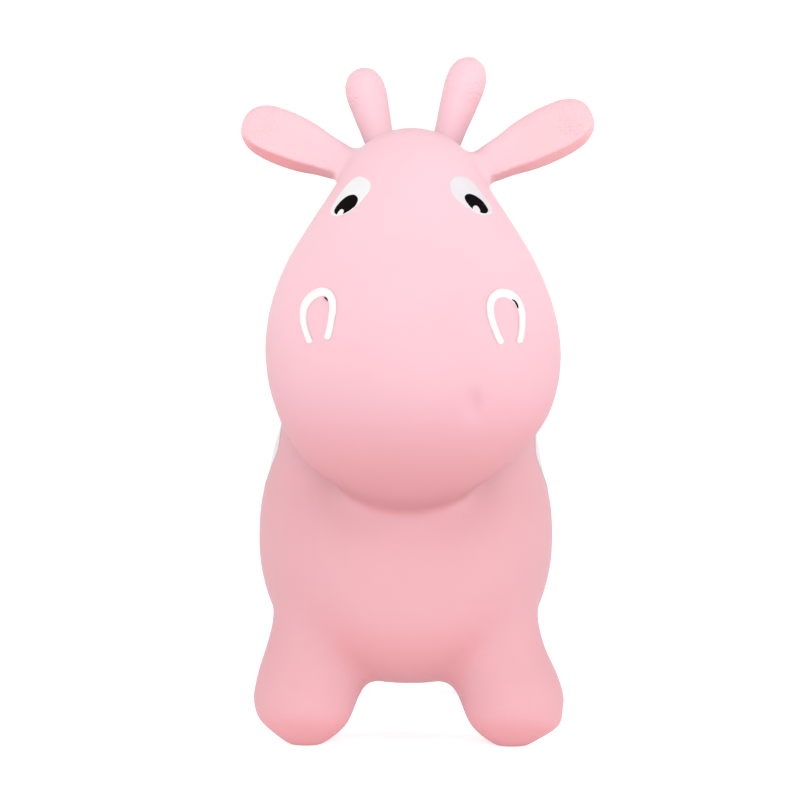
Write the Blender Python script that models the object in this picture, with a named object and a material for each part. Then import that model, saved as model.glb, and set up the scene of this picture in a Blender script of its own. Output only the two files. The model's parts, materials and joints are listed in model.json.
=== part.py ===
"""A bouncy ride-on calf: a soft blown vinyl moulding that a small child sits on and bounces.

The real toy is one hollow moulding with an air plug. The animal stands on z = 0 and looks
along -Y, with its own left side at +X. Trunk, neck, head and legs are one piece. The ears, the
horns and the tail are its limbs, which bend in a short flexing root, so each limb and each root
is a piece. The eyes, the nostril rims and the flank patches are raised or painted on the skin.
"""
import math

import bmesh
import bpy
import numpy as np
from mathutils import Matrix, Vector
from mathutils.bvhtree import BVHTree

# Clearances and mesh fineness.
FIT_GAP = 0.0003            # between pieces that touch
PAINT_THICKNESS = 0.0005
CUT_OVERRUN = 0.010         # how far a cutting shape passes the piece that it cuts
SKIN_GRAINS = 98            # faces along the trunk at which the body's forms are melted together
SKIN_KEEP_SHARE = 0.076     # share of those faces that the finished skin keeps
MELT_PASSES = 9             # rounding of the creases between the body's forms
SOFT_MELT_PASSES = 34       # extra rounding at the hips, the nape and under the chin
RING_POINTS = 40
LIMB_RINGS = 16             # along an ear, a horn or the tail
SHARP_DEGREES = 38.0        # an edge that turns by more than this is drawn sharp

# Trunk, lying along Y.
TRUNK_LENGTH = 0.442
TRUNK_WIDTH = 0.2485
CHEST_Y = -0.212            # the foremost point of the chest
BACK_HEIGHT = 0.272
BELLY_HEIGHT = 0.047
TRUNK_SQUARENESS = 2.30     # 2 is an ellipse
TRUNK_BLUNTNESS = 0.68      # 1 is an ellipse, less is a blunter chest and rump
# Along the length from chest to rump, then width, back and belly as shares.
TRUNK_SHARES = (
    (0.00, 1.00, 0.80, -0.12),
    (0.22, 1.00, 1.00, -0.09),
    (0.50, 0.89, 0.93, -0.01),
    (0.76, 0.96, 1.03, -0.04),
    (1.00, 0.90, 0.97, 0.18),
)

# Neck, standing in the trunk's shoulders and reaching into the head.
NECK_FOOT_HEIGHT = 0.150
NECK_TOP_SHARE = 0.805      # its top inside the head, from the chin to the crown
NECK_WIDTH = 0.214
NECK_DEPTH = 0.190
NECK_Y = -0.084             # middle of the neck's foot
NECK_LEAN = 0.030           # how far its top leans forward of its foot
# Up the neck, then width and depth as shares.
NECK_SHARES = (
    (0.00, 1.00, 0.90),
    (0.20, 0.985, 1.00),
    (0.34, 0.915, 0.95),
    (0.55, 0.78, 0.80),
    (0.80, 0.58, 0.62),
    (1.00, 0.30, 0.34),
)

# Head, an egg that stands on its broad muzzle and leans back to the crown.
HEAD_WIDTH = 0.2165
HEAD_DEPTH = 0.178
CHIN_HEIGHT = 0.181
CROWN_HEIGHT = 0.4655
CHIN_Y = -0.202             # middle of the head at the chin
CROWN_Y = -0.122            # middle of the head at the crown
# Latitude from chin to crown as a share, then width, depth and lean back from chin to crown.
HEAD_SHARES = (
    (0.000, 1.00, 0.94, 0.00),
    (0.167, 1.04, 1.00, 0.02),
    (0.333, 1.052, 1.04, 0.07),
    (0.417, 1.026, 1.04, 0.16),
    (0.500, 0.980, 1.02, 0.33),
    (0.583, 0.905, 0.97, 0.56),
    (0.667, 0.800, 0.90, 0.78),
    (0.750, 0.735, 0.84, 0.92),
    (0.833, 0.780, 0.80, 0.98),
    (1.000, 0.900, 0.78, 1.00),
)

# Legs: short, splayed a little, swelling into round feet with a flat sole.
FOOT_RADIUS = 0.0402
FOOT_X = 0.0775
HIP_X = 0.0490
LEG_HEIGHT = 0.135          # top of the leg, inside the trunk
FOOT_BULGE_HEIGHT = 0.036
SOLE_CUT = 0.0035           # how much of the round foot is cut away to make the sole flat
FRONT_FOOT_Y = -0.146
REAR_FOOT_Y = 0.136
FRONT_HIP_Y = -0.126
REAR_HIP_Y = 0.112
HIP_SOFTNESS = 0.060        # how far from a hip's crease the extra rounding reaches
NAPE_SOFTNESS = 0.095
THROAT_SOFTNESS = 0.075
# From the foot's lowest point to the top of the leg, then radius as a share of the foot's.
LEG_SHARES = (
    (0.000, 0.00),
    (0.008, 0.22),
    (0.025, 0.36),
    (0.052, 0.48),
    (0.100, 0.69),
    (0.160, 0.90),
    (0.213, 0.98),
    (0.270, 1.00),
    (0.420, 1.02),
    (0.650, 1.05),
    (1.000, 1.05),
)

# Ears: fat paddles that serve as hand grips. The two stand as they do in the photograph.
LEFT_EAR_LENGTH = 0.0985    # from the head's side to the tip
RIGHT_EAR_LENGTH = 0.0950
EAR_WIDTH = 0.0430
EAR_THICKNESS = 0.0300
EAR_AIM_X = 0.030           # a point inside the head that the ear's axis runs through
EAR_AIM_BACK = 0.002        # of the middle of the crown
LEFT_EAR_AIM_SHARE = 0.8527  # from the chin to the crown
RIGHT_EAR_AIM_SHARE = 0.8682
EAR_SINK = 0.022            # how far the ear's form runs on into the head
EAR_FLEX_END = 0.0200       # where the flexing root ends, along the ear
LEFT_EAR_RISE_DEGREES = 26.5
RIGHT_EAR_RISE_DEGREES = 23.0
LEFT_EAR_SWEEP_DEGREES = 4.0
RIGHT_EAR_SWEEP_DEGREES = 20.0
EAR_PLAIN_ROOT_SHARE = 0.14  # the stretch by the root that stays oval
EAR_CREASE_DEGREES = -51.0  # from the ear's lower edge round its front to the crease
# Round the ear from the crease: share of a turn, then how far down and how far back, as shares
# of its half sizes. The front is flat above the crease, and the underside turns in below it.
EAR_SECTION_SHARES = (
    (0.00, 0.68, -0.84),
    (0.05, 0.86, -0.38),
    (0.10, 1.00, 0.06),
    (0.18, 0.94, 0.52),
    (0.27, 0.55, 0.90),
    (0.36, 0.00, 1.00),
    (0.45, -0.52, 0.90),
    (0.54, -0.89, 0.54),
    (0.62, -1.00, 0.04),
    (0.69, -0.92, -0.38),
    (0.76, -0.66, -0.62),
    (0.86, -0.14, -0.68),
    (0.94, 0.34, -0.72),
    (1.00, 0.68, -0.84),
)
# Along the ear, then width and thickness as shares.
EAR_SHARES = (
    (0.00, 0.86, 1.00),
    (0.22, 0.70, 0.86),
    (0.36, 0.74, 0.84),
    (0.52, 0.90, 0.92),
    (0.68, 1.00, 1.00),
    (0.82, 0.97, 1.00),
    (0.92, 0.76, 0.80),
    (0.98, 0.42, 0.44),
    (1.00, 0.06, 0.06),
)

# Horns: round stubs with fuller tips, standing behind the front edge of the crown.
LEFT_HORN_LENGTH = 0.0795
RIGHT_HORN_LENGTH = 0.0720
HORN_DIAMETER = 0.0335
LEFT_HORN_AIM_X = 0.0215    # a point inside the crown that the horn's axis runs through
RIGHT_HORN_AIM_X = 0.0200
HORN_AIM_BACK = 0.028       # of the middle of the crown
HORN_AIM_SHARE = 0.903      # from the chin to the crown
HORN_SINK = 0.020
HORN_FLEX_END = 0.0170
LEFT_HORN_SPLAY_DEGREES = 16.0
RIGHT_HORN_SPLAY_DEGREES = 14.0
LEFT_HORN_SWEEP_DEGREES = 4.0
RIGHT_HORN_SWEEP_DEGREES = 14.0
# Along the horn, then diameter as a share.
HORN_SHARES = (
    (0.00, 0.74),
    (0.20, 0.70),
    (0.40, 0.76),
    (0.62, 0.92),
    (0.78, 1.00),
    (0.90, 0.86),
    (0.97, 0.50),
    (1.00, 0.08),
)

# Tail: a short thick tail with a round tuft.
TAIL_LENGTH = 0.062
TAIL_DIAMETER = 0.0270
TAIL_AIM_ALONG_SHARE = 0.896  # a point in the rump on the tail's axis, of the trunk's length
TAIL_AIM_UP_SHARE = 0.836   # and from the belly to the back
TAIL_SINK = 0.020
TAIL_FLEX_END = 0.0170
TAIL_DROOP_DEGREES = 38.0
# Along the tail, then diameter as a share.
TAIL_SHARES = (
    (0.00, 0.90),
    (0.30, 0.70),
    (0.50, 0.68),
    (0.70, 0.92),
    (0.82, 1.00),
    (0.92, 0.84),
    (0.98, 0.45),
    (1.00, 0.08),
)

# Eyes, as seen straight from the front: an egg of white, a leaning pupil and a glint.
EYE_X = 0.0446
EYE_UP_SHARE = 0.8105       # from the chin to the crown
EYE_LENGTH = 0.0380
EYE_WIDTH = 0.0200
EYE_LEAN_DEGREES = 43.0     # from upright, tops towards the middle of the face
EYE_EGG_SHARE = 0.20        # how much broader the upper end is
EYE_REACH = 0.030           # how far before and behind its middle the paint is sought
EYE_POINTS = 32
GLINT_POINTS = 16
PUPIL_LENGTH = 0.0212
PUPIL_WIDTH = 0.0112
PUPIL_LEAN_DEGREES = 50.0
PUPIL_OUT = 0.0034          # from the eye's middle, outwards
PUPIL_DOWN = 0.0062
GLINT_LENGTH = 0.0050
GLINT_WIDTH = 0.0036
LEFT_GLINT_OUT = -0.0003    # from the pupil's middle, outwards
RIGHT_GLINT_OUT = 0.0039
LEFT_GLINT_DOWN = 0.0046
RIGHT_GLINT_DOWN = 0.0056

# Nostril rims, as seen from the front: arches open at the bottom.
NOSTRIL_X = 0.0672
NOSTRIL_TOP_SHARE = 0.5624   # from the chin to the crown
NOSTRIL_WIDTH = 0.0222      # between the middles of its two legs
NOSTRIL_DROP = 0.0362       # from the middle of the arch's top to the legs' ends
NOSTRIL_TOE_IN = 0.0040     # each leg's lower end, towards the other leg
NOSTRIL_ARCH_SHARE = 1.25   # height of the arch, of its half width
LEFT_NOSTRIL_TILT_DEGREES = 5.5
RIGHT_NOSTRIL_TILT_DEGREES = 0.0
RIM_WIDTH = 0.0044
RIM_HEIGHT = 0.0020
RIM_SINK = 0.0030           # how far the rim's form runs on into the skin before it is cut
RIM_CROWN_SHARE = 0.45      # how much wider the rim is at the top of the arch
RIM_END_SHARE = 0.55        # size of the rim's very ends
# Over the rim's back, across it and then up, as shares of its half width and its height.
RIM_BACK_SHARES = (
    (-1.00, 0.35),
    (-0.72, 0.80),
    (0.00, 1.00),
    (0.72, 0.80),
    (1.00, 0.35),
)

# Painted patches on the flanks, round the trunk's axis.
PATCH_ALONG_SHARE = 0.363    # its middle, of the trunk's length
PATCH_LENGTH = 0.150
PATCH_GIRTH = 0.076
PATCH_DEGREES = 31.0        # middle of the patch above the trunk's side, round the axis
PATCH_POINTS = 40
# Radii round the patch as shares of its half length and half girth.
PATCH_OUTLINE_SHARES = (1.00, 0.92, 1.06, 0.90, 1.02, 1.10, 0.94, 0.86, 1.04, 0.96, 1.00, 0.90)

# Air plug and its seat, in the middle of the belly.
VALVE_ALONG_SHARE = 0.511    # of the trunk's length
SEAT_RADIUS = 0.0140
SEAT_HEIGHT = 0.0190
PLUG_FLANGE_RADIUS = 0.0100
PLUG_FLANGE_THICKNESS = 0.0022
PLUG_STEM_RADIUS = 0.0052
PLUG_STEM_LENGTH = 0.0150
PLUG_TAPER_SHARE = 0.86     # the stem's end, of its root
PLUG_LIP = 0.0012           # how far the flange stands proud of its seat
TURNED_POINTS = 32

SIDES = {"left": 1.0, "right": -1.0}
# What differs from side to side.
EARS = {
    "left": (LEFT_EAR_LENGTH, LEFT_EAR_AIM_SHARE, LEFT_EAR_RISE_DEGREES, LEFT_EAR_SWEEP_DEGREES),
    "right": (RIGHT_EAR_LENGTH, RIGHT_EAR_AIM_SHARE, RIGHT_EAR_RISE_DEGREES,
              RIGHT_EAR_SWEEP_DEGREES),
}
HORNS = {
    "left": (LEFT_HORN_LENGTH, LEFT_HORN_AIM_X, LEFT_HORN_SPLAY_DEGREES, LEFT_HORN_SWEEP_DEGREES),
    "right": (RIGHT_HORN_LENGTH, RIGHT_HORN_AIM_X, RIGHT_HORN_SPLAY_DEGREES,
              RIGHT_HORN_SWEEP_DEGREES),
}
GLINTS = {"left": (LEFT_GLINT_OUT, LEFT_GLINT_DOWN), "right": (RIGHT_GLINT_OUT, RIGHT_GLINT_DOWN)}
NOSTRIL_TILTS = {"left": LEFT_NOSTRIL_TILT_DEGREES, "right": RIGHT_NOSTRIL_TILT_DEGREES}
AXIS_X = Vector((1.0, 0.0, 0.0))
AXIS_Y = Vector((0.0, 1.0, 0.0))
AXIS_Z = Vector((0.0, 0.0, 1.0))


def material(name, colour, roughness, metallic=0.0):
    """A plain Principled finish."""
    made = bpy.data.materials.new(name)
    made.use_nodes = True
    shader = made.node_tree.nodes["Principled BSDF"]
    shader.inputs["Base Color"].default_value = (*colour, 1.0)
    shader.inputs["Roughness"].default_value = roughness
    shader.inputs["Metallic"].default_value = metallic
    return made


def add_object(name, mesh, finish, origin=None):
    """Put a mesh in the scene as a named piece, its origin moved to a joint where it has one."""
    made = bpy.data.objects.new(name, mesh)
    bpy.context.scene.collection.objects.link(made)
    if finish is not None:
        mesh.materials.clear()
        mesh.materials.append(finish)
    if origin is not None:
        mesh.transform(Matrix.Translation(-origin))
        made.location = origin
    mesh.shade_smooth()
    mesh.set_sharp_from_angle(angle=math.radians(SHARP_DEGREES))
    return made


def through(rows, share):
    """Values at a share along hand-chosen rows, on one smooth curve through them."""
    table = np.array(rows)
    places = table[:, 0]
    values = table[:, 1:]
    slopes = np.gradient(values, places, axis=0)
    i = int(np.clip(np.searchsorted(places, share, side="right") - 1, 0, len(places) - 2))
    span = places[i + 1] - places[i]
    t = (share - places[i]) / span
    start = (1 + 2 * t) * (1 - t) ** 2 * values[i] + t * (1 - t) ** 2 * span * slopes[i]
    end = t * t * (3 - 2 * t) * values[i + 1] + t * t * (t - 1) * span * slopes[i + 1]
    return start + end


def head_height(share):
    """Height at a share of the way from the chin to the crown."""
    return CHIN_HEIGHT + (CROWN_HEIGHT - CHIN_HEIGHT) * share


def along_trunk(share):
    """Place along Y at a share of the way from the chest to the rump."""
    return CHEST_Y + TRUNK_LENGTH * share


def oval(centre, side, up, half_width, half_height, squareness=2.0, points=RING_POINTS):
    """A ring of points round a centre, an ellipse or a squarer oval."""
    ring = []
    for i in range(points):
        angle = math.tau * i / points
        across = math.copysign(abs(math.cos(angle)) ** (2 / squareness), math.cos(angle))
        along = math.copysign(abs(math.sin(angle)) ** (2 / squareness), math.sin(angle))
        ring.append(centre + side * (across * half_width) + up * (along * half_height))
    return ring


def loft(bm, rings):
    """Skin a row of rings into one closed body in bm, with a flat cap on each end."""
    loops = [[bm.verts.new(point) for point in ring] for ring in rings]
    faces = [bm.faces.new(loops[0]), bm.faces.new(loops[-1])]
    for low, high in zip(loops, loops[1:]):
        for i in range(len(low)):
            j = (i + 1) % len(low)
            faces.append(bm.faces.new((low[i], low[j], high[j], high[i])))
    bmesh.ops.recalc_face_normals(bm, faces=faces)


def mesh_from(bm, name):
    """Close a bmesh into a new mesh."""
    mesh = bpy.data.meshes.new(name)
    bm.to_mesh(mesh)
    bm.free()
    return mesh


def evaluated(obj, name):
    """The mesh of an object with its modifiers carried out."""
    graph = bpy.context.evaluated_depsgraph_get()
    mesh = bpy.data.meshes.new_from_object(obj.evaluated_get(graph))
    mesh.name = name
    return mesh


def remove_object(obj):
    """Take a helper object out of the scene."""
    bpy.data.objects.remove(obj, do_unlink=True)


def trunk_rings():
    """Rings from chest to rump, closed by a blunt round end on each."""
    rings = []
    count = 36
    for i in range(1, count):
        angle = math.pi * i / count
        share = (1 - math.cos(angle)) / 2
        swell = math.sin(angle) ** TRUNK_BLUNTNESS
        width, back, belly = through(TRUNK_SHARES, share)
        rise = BACK_HEIGHT - BELLY_HEIGHT
        top = BELLY_HEIGHT + rise * back
        bottom = BELLY_HEIGHT + rise * belly
        centre = Vector((0.0, along_trunk(share), (top + bottom) / 2))
        half_width = TRUNK_WIDTH / 2 * width * swell
        half_height = (top - bottom) / 2 * swell
        rings.append(oval(centre, AXIS_X, AXIS_Z, half_width, half_height, TRUNK_SQUARENESS))
    return rings


def neck_rings():
    """Level rings from inside the shoulders to inside the head."""
    rings = []
    top = head_height(NECK_TOP_SHARE)
    count = 16
    for i in range(count + 1):
        share = i / count
        width, depth = through(NECK_SHARES, share)
        height = NECK_FOOT_HEIGHT + (top - NECK_FOOT_HEIGHT) * share
        centre = Vector((0.0, NECK_Y - NECK_LEAN * share, height))
        rings.append(oval(centre, AXIS_X, AXIS_Y, NECK_WIDTH / 2 * width, NECK_DEPTH / 2 * depth))
    return rings


def head_rings():
    """Level rings at even latitudes from chin to crown."""
    rings = []
    count = 40
    middle = head_height(0.5)
    half_height = (CROWN_HEIGHT - CHIN_HEIGHT) / 2
    for i in range(1, count):
        share = i / count
        latitude = math.pi * (share - 0.5)
        width, depth, lean = through(HEAD_SHARES, share)
        y = CHIN_Y + (CROWN_Y - CHIN_Y) * lean
        centre = Vector((0.0, y, middle + half_height * math.sin(latitude)))
        half_width = HEAD_WIDTH / 2 * width * math.cos(latitude)
        half_depth = HEAD_DEPTH / 2 * depth * math.cos(latitude)
        rings.append(oval(centre, AXIS_X, AXIS_Y, half_width, half_depth))
    return rings


def leg_places():
    """Side, foot and hip of each leg."""
    for side in SIDES.values():
        for foot_y, hip_y in ((FRONT_FOOT_Y, FRONT_HIP_Y), (REAR_FOOT_Y, REAR_HIP_Y)):
            yield side, foot_y, hip_y


def leg_rings(side, foot_y, hip_y):
    """Level rings from below the sole to the top of the leg inside the trunk."""
    rings = []
    count = 30
    bottom = -SOLE_CUT
    for i in range(1, count + 1):
        share = (i / count) ** 2
        height = bottom + (LEG_HEIGHT - bottom) * share
        rise = max(0.0, height - FOOT_BULGE_HEIGHT) / (LEG_HEIGHT - FOOT_BULGE_HEIGHT)
        x = side * (FOOT_X + (HIP_X - FOOT_X) * rise)
        centre = Vector((x, foot_y + (hip_y - foot_y) * rise, height))
        radius = FOOT_RADIUS * float(through(LEG_SHARES, share)[0])
        rings.append(oval(centre, AXIS_X, AXIS_Y, radius, radius))
    return rings


def soft_places():
    """Middle and reach of each place where the moulding's forms flow into each other."""
    for side, foot_y, hip_y in leg_places():
        crease_height = BELLY_HEIGHT + FOOT_BULGE_HEIGHT / 2
        yield (side * (HIP_X + FOOT_X) / 2, (foot_y + hip_y) / 2, crease_height), HIP_SOFTNESS
    yield (0.0, NECK_Y + NECK_DEPTH / 2, BACK_HEIGHT), NAPE_SOFTNESS
    nape_height = (head_height(NECK_TOP_SHARE) + BACK_HEIGHT) / 2
    yield (0.0, CROWN_Y + HEAD_DEPTH / 2, nape_height), NAPE_SOFTNESS
    yield (0.0, CHEST_Y, CHIN_HEIGHT), THROAT_SOFTNESS


def softness(points):
    """From 1 at a soft place to 0 away from it."""
    closeness = np.zeros(len(points))
    for middle, reach in soft_places():
        distance = np.linalg.norm(points - np.array(middle), axis=1)
        closeness = np.maximum(closeness, 2 * (1 - distance / reach))
    return np.clip(closeness, 0.0, 1.0)


def melt(mesh, passes, weights=None):
    """Round a mesh by drawing each point towards the middle of its neighbours."""
    points = np.empty(len(mesh.vertices) * 3)
    mesh.vertices.foreach_get("co", points)
    points = points.reshape(-1, 3)
    ends = np.empty(len(mesh.edges) * 2, dtype=np.int64)
    mesh.edges.foreach_get("vertices", ends)
    first = ends[0::2]
    second = ends[1::2]
    count = np.bincount(ends, minlength=len(points))[:, None]
    pull = 0.5 if weights is None else 0.5 * weights(points)[:, None]
    for _ in range(passes):
        total = np.zeros_like(points)
        np.add.at(total, first, points[second])
        np.add.at(total, second, points[first])
        points += pull * (total / count - points)
    mesh.vertices.foreach_set("co", points.ravel())
    mesh.update()


def body_skin_mesh():
    """Trunk, neck, head and legs melted into one round skin, with flat soles."""
    bm = bmesh.new()
    loft(bm, trunk_rings())
    loft(bm, neck_rings())
    loft(bm, head_rings())
    for side, foot_y, hip_y in leg_places():
        loft(bm, leg_rings(side, foot_y, hip_y))
    raw = add_object("raw_body", mesh_from(bm, "raw_body"), None)
    remesh = raw.modifiers.new("melt forms together", "REMESH")
    remesh.mode = "VOXEL"
    remesh.voxel_size = TRUNK_LENGTH / SKIN_GRAINS
    melted = evaluated(raw, "melted_body")
    melt(melted, MELT_PASSES)
    melt(melted, SOFT_MELT_PASSES, softness)
    smooth = add_object("smooth_body", melted, None)
    thin = smooth.modifiers.new("fewer faces", "DECIMATE")
    thin.ratio = SKIN_KEEP_SHARE
    thin.use_symmetry = True
    thin.symmetry_axis = "X"
    skin = evaluated(smooth, "body_skin")
    remove_object(raw)
    remove_object(smooth)
    bm = bmesh.new()
    bm.from_mesh(skin)
    everything = bm.verts[:] + bm.edges[:] + bm.faces[:]
    cut = bmesh.ops.bisect_plane(bm, geom=everything, plane_co=(0, 0, 0), plane_no=-AXIS_Z,
                                 clear_outer=True)
    rim = [piece for piece in cut["geom_cut"] if isinstance(piece, bmesh.types.BMEdge)]
    bmesh.ops.holes_fill(bm, edges=rim, sides=0)
    bmesh.ops.triangulate(bm, faces=[face for face in bm.faces if len(face.verts) > 4])
    bm.to_mesh(skin)
    bm.free()
    return skin


def skin_tree(mesh):
    """A search tree over the skin's faces."""
    bm = bmesh.new()
    bm.from_mesh(mesh)
    tree = BVHTree.FromBMesh(bm)
    bm.free()
    return tree


def from_front(tree, x, height):
    """Point and outward direction where a line from straight ahead meets the skin."""
    place, normal, _, _ = tree.ray_cast(Vector((x, -TRUNK_LENGTH * 2, height)), AXIS_Y)
    if place is None:
        place, normal, _, _ = tree.find_nearest(Vector((x, CROWN_Y, height)))
    return place, normal


def painted(name, finish, inner, outer, films, hole=None):
    """A film of paint that follows the skin, where a shape between two rings passes through it.

    films holds the grown skins that bound the film below and above.
    """
    bm = bmesh.new()
    loft(bm, [inner, outer])
    made = add_object(name, mesh_from(bm, name), finish)
    below, above = films
    for operation, other in (("INTERSECT", above), ("DIFFERENCE", below), ("DIFFERENCE", hole)):
        if other is not None:
            cut = made.modifiers.new(operation.lower(), "BOOLEAN")
            cut.operation = operation
            cut.object = other
    return made


def leaning_oval(x, height, length, width, lean_degrees, egg_share=0.0):
    """An outline in the front view: an oval whose long axis leans, broader at its upper end."""
    lean = math.radians(lean_degrees)

    def outline(turn):
        angle = math.tau * turn
        along = length / 2 * math.cos(angle)
        across = width / 2 * math.sin(angle) * (1 + egg_share * math.cos(angle))
        return (x + across * math.cos(lean) + along * math.sin(lean),
                height + along * math.cos(lean) - across * math.sin(lean))
    return outline


def front_rings(outline, points, y):
    """Two rings of an outline in the front view, before and behind a place along Y."""
    rings = []
    for depth in (y - EYE_REACH, y + EYE_REACH):
        rings.append([Vector((x, depth, height)) for x, height in
                      (outline(i / points) for i in range(points))])
    return rings


def eye(side_name, tree, films, glint_films, white, black):
    """The white of an eye with its pupil let in, and the glint over the pupil's lower edge."""
    side = SIDES[side_name]
    height = head_height(EYE_UP_SHARE)
    pupil_x = side * (EYE_X + PUPIL_OUT)
    pupil_height = height - PUPIL_DOWN
    lean = -side * PUPIL_LEAN_DEGREES
    eye_outline = leaning_oval(side * EYE_X, height, EYE_LENGTH, EYE_WIDTH,
                               -side * EYE_LEAN_DEGREES, EYE_EGG_SHARE)
    pupil = leaning_oval(pupil_x, pupil_height, PUPIL_LENGTH, PUPIL_WIDTH, lean)
    opening = leaning_oval(pupil_x, pupil_height, PUPIL_LENGTH + 2 * FIT_GAP,
                           PUPIL_WIDTH + 2 * FIT_GAP, lean)
    glint_out, glint_down = GLINTS[side_name]
    glint = leaning_oval(pupil_x + side * glint_out, pupil_height - glint_down,
                         GLINT_LENGTH, GLINT_WIDTH, -lean / 2)
    y = from_front(tree, side * EYE_X, height)[0].y
    bm = bmesh.new()
    loft(bm, front_rings(opening, EYE_POINTS, y))
    cutter = helper(side_name + "_pupil_opening", mesh_from(bm, "opening"))
    painted(side_name + "_eye_white", white, *front_rings(eye_outline, EYE_POINTS, y), films, cutter)
    painted(side_name + "_pupil", black, *front_rings(pupil, EYE_POINTS, y), films)
    painted(side_name + "_eye_glint", white, *front_rings(glint, GLINT_POINTS, y), glint_films)


def rim_path(side_name):
    """Points of a nostril rim's middle line in the front view, from one leg's end to the other's."""
    side = SIDES[side_name]
    tilt = math.radians(NOSTRIL_TILTS[side_name]) * side
    top = head_height(NOSTRIL_TOP_SHARE)
    half = NOSTRIL_WIDTH / 2
    arch = half * NOSTRIL_ARCH_SHARE
    path = []
    leg_steps = 7
    for i in range(leg_steps):
        share = i / leg_steps
        inset = NOSTRIL_TOE_IN * (1 - share) ** 2
        path.append((-half + inset, -NOSTRIL_DROP + (NOSTRIL_DROP - arch) * share))
    arch_steps = 12
    for i in range(arch_steps + 1):
        angle = math.pi * (1 - i / arch_steps)
        path.append((half * math.cos(angle), arch * (math.sin(angle) - 1)))
    path += [(-x, z) for x, z in reversed(path[:leg_steps])]
    turned = []
    for x, z in path:
        turned.append((side * NOSTRIL_X + x * math.cos(tilt) - z * math.sin(tilt),
                       top + z * math.cos(tilt) + x * math.sin(tilt)))
    return turned


def nostril(side_name, tree, seat, white):
    """A raised rim with a round back, laid on the muzzle along its path and cut to sit on it."""
    path = rim_path(side_name)
    last = len(path) - 1
    bm = bmesh.new()
    rings = []
    for i, (x, height) in enumerate(path):
        before = Vector(path[max(i - 1, 0)])
        after = Vector(path[min(i + 1, last)])
        along = (after - before).normalized()
        across = Vector((along.y, -along.x))
        swell = 1 + RIM_CROWN_SHARE * math.sin(math.pi * i / last) ** 4
        end = 1.0 if 0 < i < last else RIM_END_SHARE
        half_width = RIM_WIDTH / 2 * swell * end
        ring = []
        for over, up in RIM_BACK_SHARES:
            spot = Vector((x, height)) + across * (over * half_width)
            place, normal = from_front(tree, spot.x, spot.y)
            ring.append(place + normal * (FIT_GAP + RIM_HEIGHT * up * end))
        for over in (1, -1):
            spot = Vector((x, height)) + across * (over * half_width)
            place, normal = from_front(tree, spot.x, spot.y)
            ring.append(place - normal * RIM_SINK)
        rings.append(ring)
    loft(bm, rings)
    name = side_name + "_nostril_rim"
    made = add_object(name, mesh_from(bm, name), white)
    cut = made.modifiers.new("sit on the skin", "BOOLEAN")
    cut.operation = "DIFFERENCE"
    cut.object = seat


def patch(side_name, films, white):
    """A painted patch over the side of the back, laid out round the trunk's axis."""
    side = SIDES[side_name]
    radius = (BACK_HEIGHT - BELLY_HEIGHT) / 2
    half_turn = PATCH_GIRTH / 2 / radius
    count = len(PATCH_OUTLINE_SHARES)
    rows = [(i / count, PATCH_OUTLINE_SHARES[i % count]) for i in range(-2, count + 3)]
    rings = []
    for distance in (radius / 2, radius * 3 / 2):
        ring = []
        for i in range(PATCH_POINTS):
            reach = float(through(rows, i / PATCH_POINTS)[0])
            angle = math.tau * i / PATCH_POINTS
            y = along_trunk(PATCH_ALONG_SHARE) + PATCH_LENGTH / 2 * reach * math.cos(angle)
            turn = math.radians(PATCH_DEGREES) + half_turn * reach * math.sin(angle)
            out = Vector((side * math.cos(turn), 0.0, math.sin(turn)))
            ring.append(Vector((0.0, y, BELLY_HEIGHT + radius)) + out * distance)
        rings.append(ring)
    painted(side_name + "_flank_patch", white, *rings, films)


def limb_frame(aim, along, face, tree):
    """A limb's matrix, at the skin over its aim: X across it, Y out of its back, Z along it."""
    along = along.normalized()
    across = face.cross(along).normalized()
    back = along.cross(across)
    root, _, _, _ = tree.ray_cast(aim + along * TRUNK_LENGTH, -along)
    frame = Matrix((across, back, along)).transposed().to_4x4()
    frame.translation = root
    return frame


def ear_point(turn, share, lower):
    """Across and back of an ear's section at a share of a turn, as shares of its half sizes."""
    angle = math.tau * turn + math.radians(EAR_CREASE_DEGREES)
    across = math.cos(angle)
    back = math.sin(angle)
    # How far the flat front and the crease have come in between the root and the tip.
    come_in = min(1.0, 8 * max(0.0, share - EAR_PLAIN_ROOT_SHARE)) * min(1.0, 5 * (1 - share))
    shaped_across, shaped_back = through(EAR_SECTION_SHARES, turn)
    across += (float(shaped_across) - across) * come_in
    back += (float(shaped_back) - back) * come_in
    return lower * across, back


def limb_section(limb, share):
    """Ring of a limb in its own frame, at a share from inside the body to its tip."""
    values = through(limb["rows"], share)
    half_width = limb["width"] * float(values[0]) / 2
    half_thickness = limb["thickness"] * float(values[-1]) / 2
    z = -limb["sink"] + (limb["length"] + limb["sink"]) * share
    ring = []
    for i in range(limb["points"]):
        turn = i / limb["points"]
        if limb["lower"] is None:
            across, back = math.cos(math.tau * turn), math.sin(math.tau * turn)
        else:
            across, back = ear_point(turn, share, limb["lower"])
        ring.append(Vector((across * half_width, back * half_thickness, z)))
    return ring


def limb_piece(name, limb, start, end, finish, origin=None, seat=None):
    """The stretch of a limb between two places along it, cut to the skin where seat is given."""
    whole = limb["length"] + limb["sink"]
    count = max(2, round(LIMB_RINGS * (end - start) / whole))
    shares = [i / count for i in range(count + 1)]
    if end == limb["length"]:
        shares = [math.sin(math.pi / 2 * share) for share in shares]
    places = [start + (end - start) * share for share in shares]
    rings = [limb_section(limb, (place + limb["sink"]) / whole) for place in places]
    bm = bmesh.new()
    loft(bm, rings)
    bm.transform(limb["frame"])
    made = add_object(name, mesh_from(bm, name), finish, origin)
    if seat is not None:
        cut = made.modifiers.new("sit on the skin", "BOOLEAN")
        cut.operation = "DIFFERENCE"
        cut.object = seat
    return made


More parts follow.
